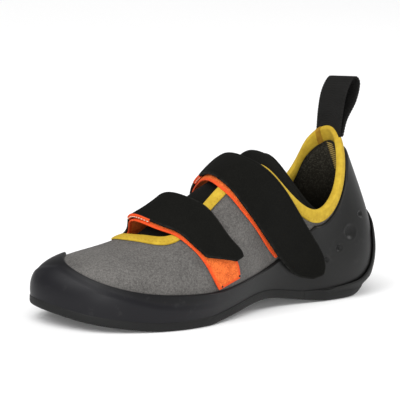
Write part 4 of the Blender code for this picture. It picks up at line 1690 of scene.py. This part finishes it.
@dataclass
class PullLoop:
    """Ribbed webbing folded into a standing loop behind the heel."""

    shop: Shop
    # x, z, and how far the row follows the round of the heel
    rows: dict[str, tuple[float, ...]] = field(default_factory=lambda: {
        "front_foot": (25.8, 107.6, 1.0),
        "front_leg":  (26.0, 120, 0.6),
        "front_bend": (25.0, 130, 0.2),
        "front_top":  (21.8, 137, 0.0),
        "crown":      (18.0, 139.8, 0.0),
        "rear_top":   (15.0, 136, 0.0),
        "rear_leg":   (17.0, 126.5, 0.2),
        "rear_bend":  (23.2, 117.3, 0.7),
        "rear_foot":  (25.4, 108.4, 1.0),
    })
    width: float = 22.5
    thick: float = 1.5
    aside: float = 1.0
    radius: float = 30.0        # round of the heel in plan
    drop: float = 15.0          # round of the collar's edge seen from behind
    tilt: float = 0.12
    pitch: float = 1.6          # of the cross ribs
    cells: int = 16

    def build(self) -> Piece:
        """Model the webbing with its cross ribs and serrated edges.

        Returns:
            The finished piece.
        """
        curve = OpenCurve(list(self.rows.values()))
        fine = np.linspace(0, len(self.rows) - 1, 900)
        line = curve(fine)
        runs = np.concatenate(([0], np.cumsum(np.hypot(*np.diff(line[:, :2], axis=0).T))))
        run = np.linspace(0, runs[-1], int(runs[-1] / self.pitch * 6) + 1)
        x, z, hug = curve(np.interp(run, runs, fine)).T[..., None]
        beat = np.sin(2 * np.pi * run / self.pitch)[:, None]
        half = self.width / 2 + 0.16 * beat
        y = np.linspace(1, -1, self.cells + 1)[None, :] * half + self.aside
        round_heel = hug * y**2 / 2
        lean = (1 - hug) * self.tilt * y
        points = stacked(x + round_heel / self.radius, y, z - round_heel / self.drop + lean)
        piece = Bench.grid("pull_loop_webbing", lifted(points, 0.13 * beat + 0 * y))
        Bench.wall(piece, self.thick, 1.0)
        Bench.smooth(piece, 70)
        self.shop.dress(piece, Finishes.WEBBING)
        return self.shop.hand_in(piece, "webbing", "pull_loop")


@dataclass(frozen=True)
class Lamp:
    """A soft area lamp, aimed at the middle of the shoe."""

    name: str
    place: tuple[float, float, float]
    size: float
    watts: float
    colour: Colour = (1.0, 1.0, 1.0)


@dataclass
class Studio:
    """Pale floor, soft lamps and the camera at the photo's angle."""

    target: tuple[float, float, float] = (1.5, -0.4, 50.0)
    azimuth: float = 42.0
    elevation: float = 11.0
    roll: float = 3.0
    distance: float = 1600.0
    pixels_per_mm: float = 1.58
    image: float = 400.0
    aside: tuple[float, float] = (13.0, 28.0)
    sensor: float = 36.0
    lamps: tuple[Lamp, ...] = (
        Lamp("heel_lamp", (-0.95, 0.45, 0.82), 0.5, 5.4),
        Lamp("front_fill", (1.05, 1.17, 0.32), 0.5, 6.5),
        Lamp("toe_lamp", (0.95, 0.35, 0.75), 0.6, 3.0))
    sun_from: tuple[float, float, float] = (0.52, 0.16, 0.84)
    sun_strength: float = 1.95
    sun_spread: float = 60.0
    room: float = 0.40
    floor_size: float = 120.0
    sight: float = 100.0

    def axes(self) -> tuple[Array, Array, Array]:
        """Camera axes: right, up and back towards the camera.

        Returns:
            Three vectors of length one.
        """
        turn, lift, roll = np.radians((self.azimuth, self.elevation, self.roll))
        back = np.array((np.sin(turn) * np.cos(lift), np.cos(turn) * np.cos(lift), np.sin(lift)))
        right = np.array((-np.cos(turn), np.sin(turn), 0.0))
        up = np.cross(back, right)
        return np.cos(roll) * right + np.sin(roll) * up, -np.sin(roll) * right + np.cos(roll) * up, back

    def camera(self) -> None:
        """Set up the camera."""
        right, up, back = self.axes()
        shift = (-right * self.aside[0] + up * self.aside[1]) / self.pixels_per_mm
        place = (np.array(self.target) + back * self.distance + shift) * MM
        lens = bpy.data.cameras.new("camera")
        lens.sensor_width = self.sensor
        lens.lens = self.pixels_per_mm * self.distance / self.image * self.sensor
        lens.clip_end = self.sight
        camera = bpy.data.objects.new("camera", lens)
        turned = Matrix((Vector(right), Vector(up), Vector(back))).transposed().to_4x4()
        turned.translation = Vector(place)
        camera.matrix_world = turned
        bpy.context.scene.collection.objects.link(camera)
        bpy.context.scene.camera = camera

    def light(self) -> None:
        """Hang the lamps and set the pale surroundings."""
        for lamp in self.lamps:
            data = bpy.data.lights.new(lamp.name, "AREA")
            data.shape = "DISK"
            data.size = lamp.size
            data.energy = lamp.watts
            data.color = lamp.colour
            hung = bpy.data.objects.new(lamp.name, data)
            hung.location = lamp.place
            aim = Vector(np.array(self.target) * MM) - Vector(lamp.place)
            hung.rotation_euler = aim.to_track_quat("-Z", "Y").to_euler()
            bpy.context.scene.collection.objects.link(hung)
        sun = bpy.data.lights.new("soft_sun", "SUN")
        sun.energy = self.sun_strength
        sun.angle = np.radians(self.sun_spread)
        high = bpy.data.objects.new("soft_sun", sun)
        high.rotation_euler = (-Vector(self.sun_from)).to_track_quat("-Z", "Y").to_euler()
        bpy.context.scene.collection.objects.link(high)
        world = bpy.data.worlds.new("pale_room")
        world.use_nodes = True
        room = world.node_tree.nodes["Background"]
        room.inputs["Color"].default_value = (1.0, 1.0, 1.0, 1.0)
        room.inputs["Strength"].default_value = self.room
        bpy.context.scene.world = world
        bpy.context.scene.view_settings.view_transform = "Standard"

    def floor(self) -> None:
        """Lay the floor."""
        bpy.ops.object.select_all(action="DESELECT")
        bpy.ops.mesh.primitive_plane_add(size=self.floor_size, location=(0, 0, 0))
        floor = bpy.context.object
        floor.name = "floor"
        tree = ShaderTree("floor_paint")
        tone = tree.mix(tree.noise(400, 2), (0.96, 0.96, 0.96), (0.98, 0.98, 0.98))
        paint = tree.dress(base_color=tone, roughness=0.9, emission_color=(1.0, 1.0, 1.0),
                           emission_strength=0.06)
        floor.data.materials.append(paint)


def main() -> None:
    """Build the shoe, piece by piece, in its studio."""
    logging.basicConfig(level=logging.INFO, format="%(name)s %(message)s")
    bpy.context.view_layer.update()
    studio = Studio()
    studio.camera()
    studio.light()
    studio.floor()
    shop = Shop()
    sole = Sole(shop)
    sole.outsole()
    sole.footbed()
    upper = UpperShell(shop)
    upper.build()
    upper.heel_seam()
    rubber = RubberShell(shop)
    rubber.toe_rand()
    rubber.heel_cup()
    rubber.heel_strip()
    Tongue(shop).build()
    binding = Binding(shop)
    binding.build()
    binding.joint()
    StrapPair(shop, "front", FRONT_COVER, FRONT_LINING, tacked=((6.12, .205), (5.50, .215))).build()
    StrapPair(shop, "rear", REAR_COVER, REAR_LINING, -24.0, (-9.0, -21.0)).build()
    PullLoop(shop).build()


if __name__ == "__main__":
    main()
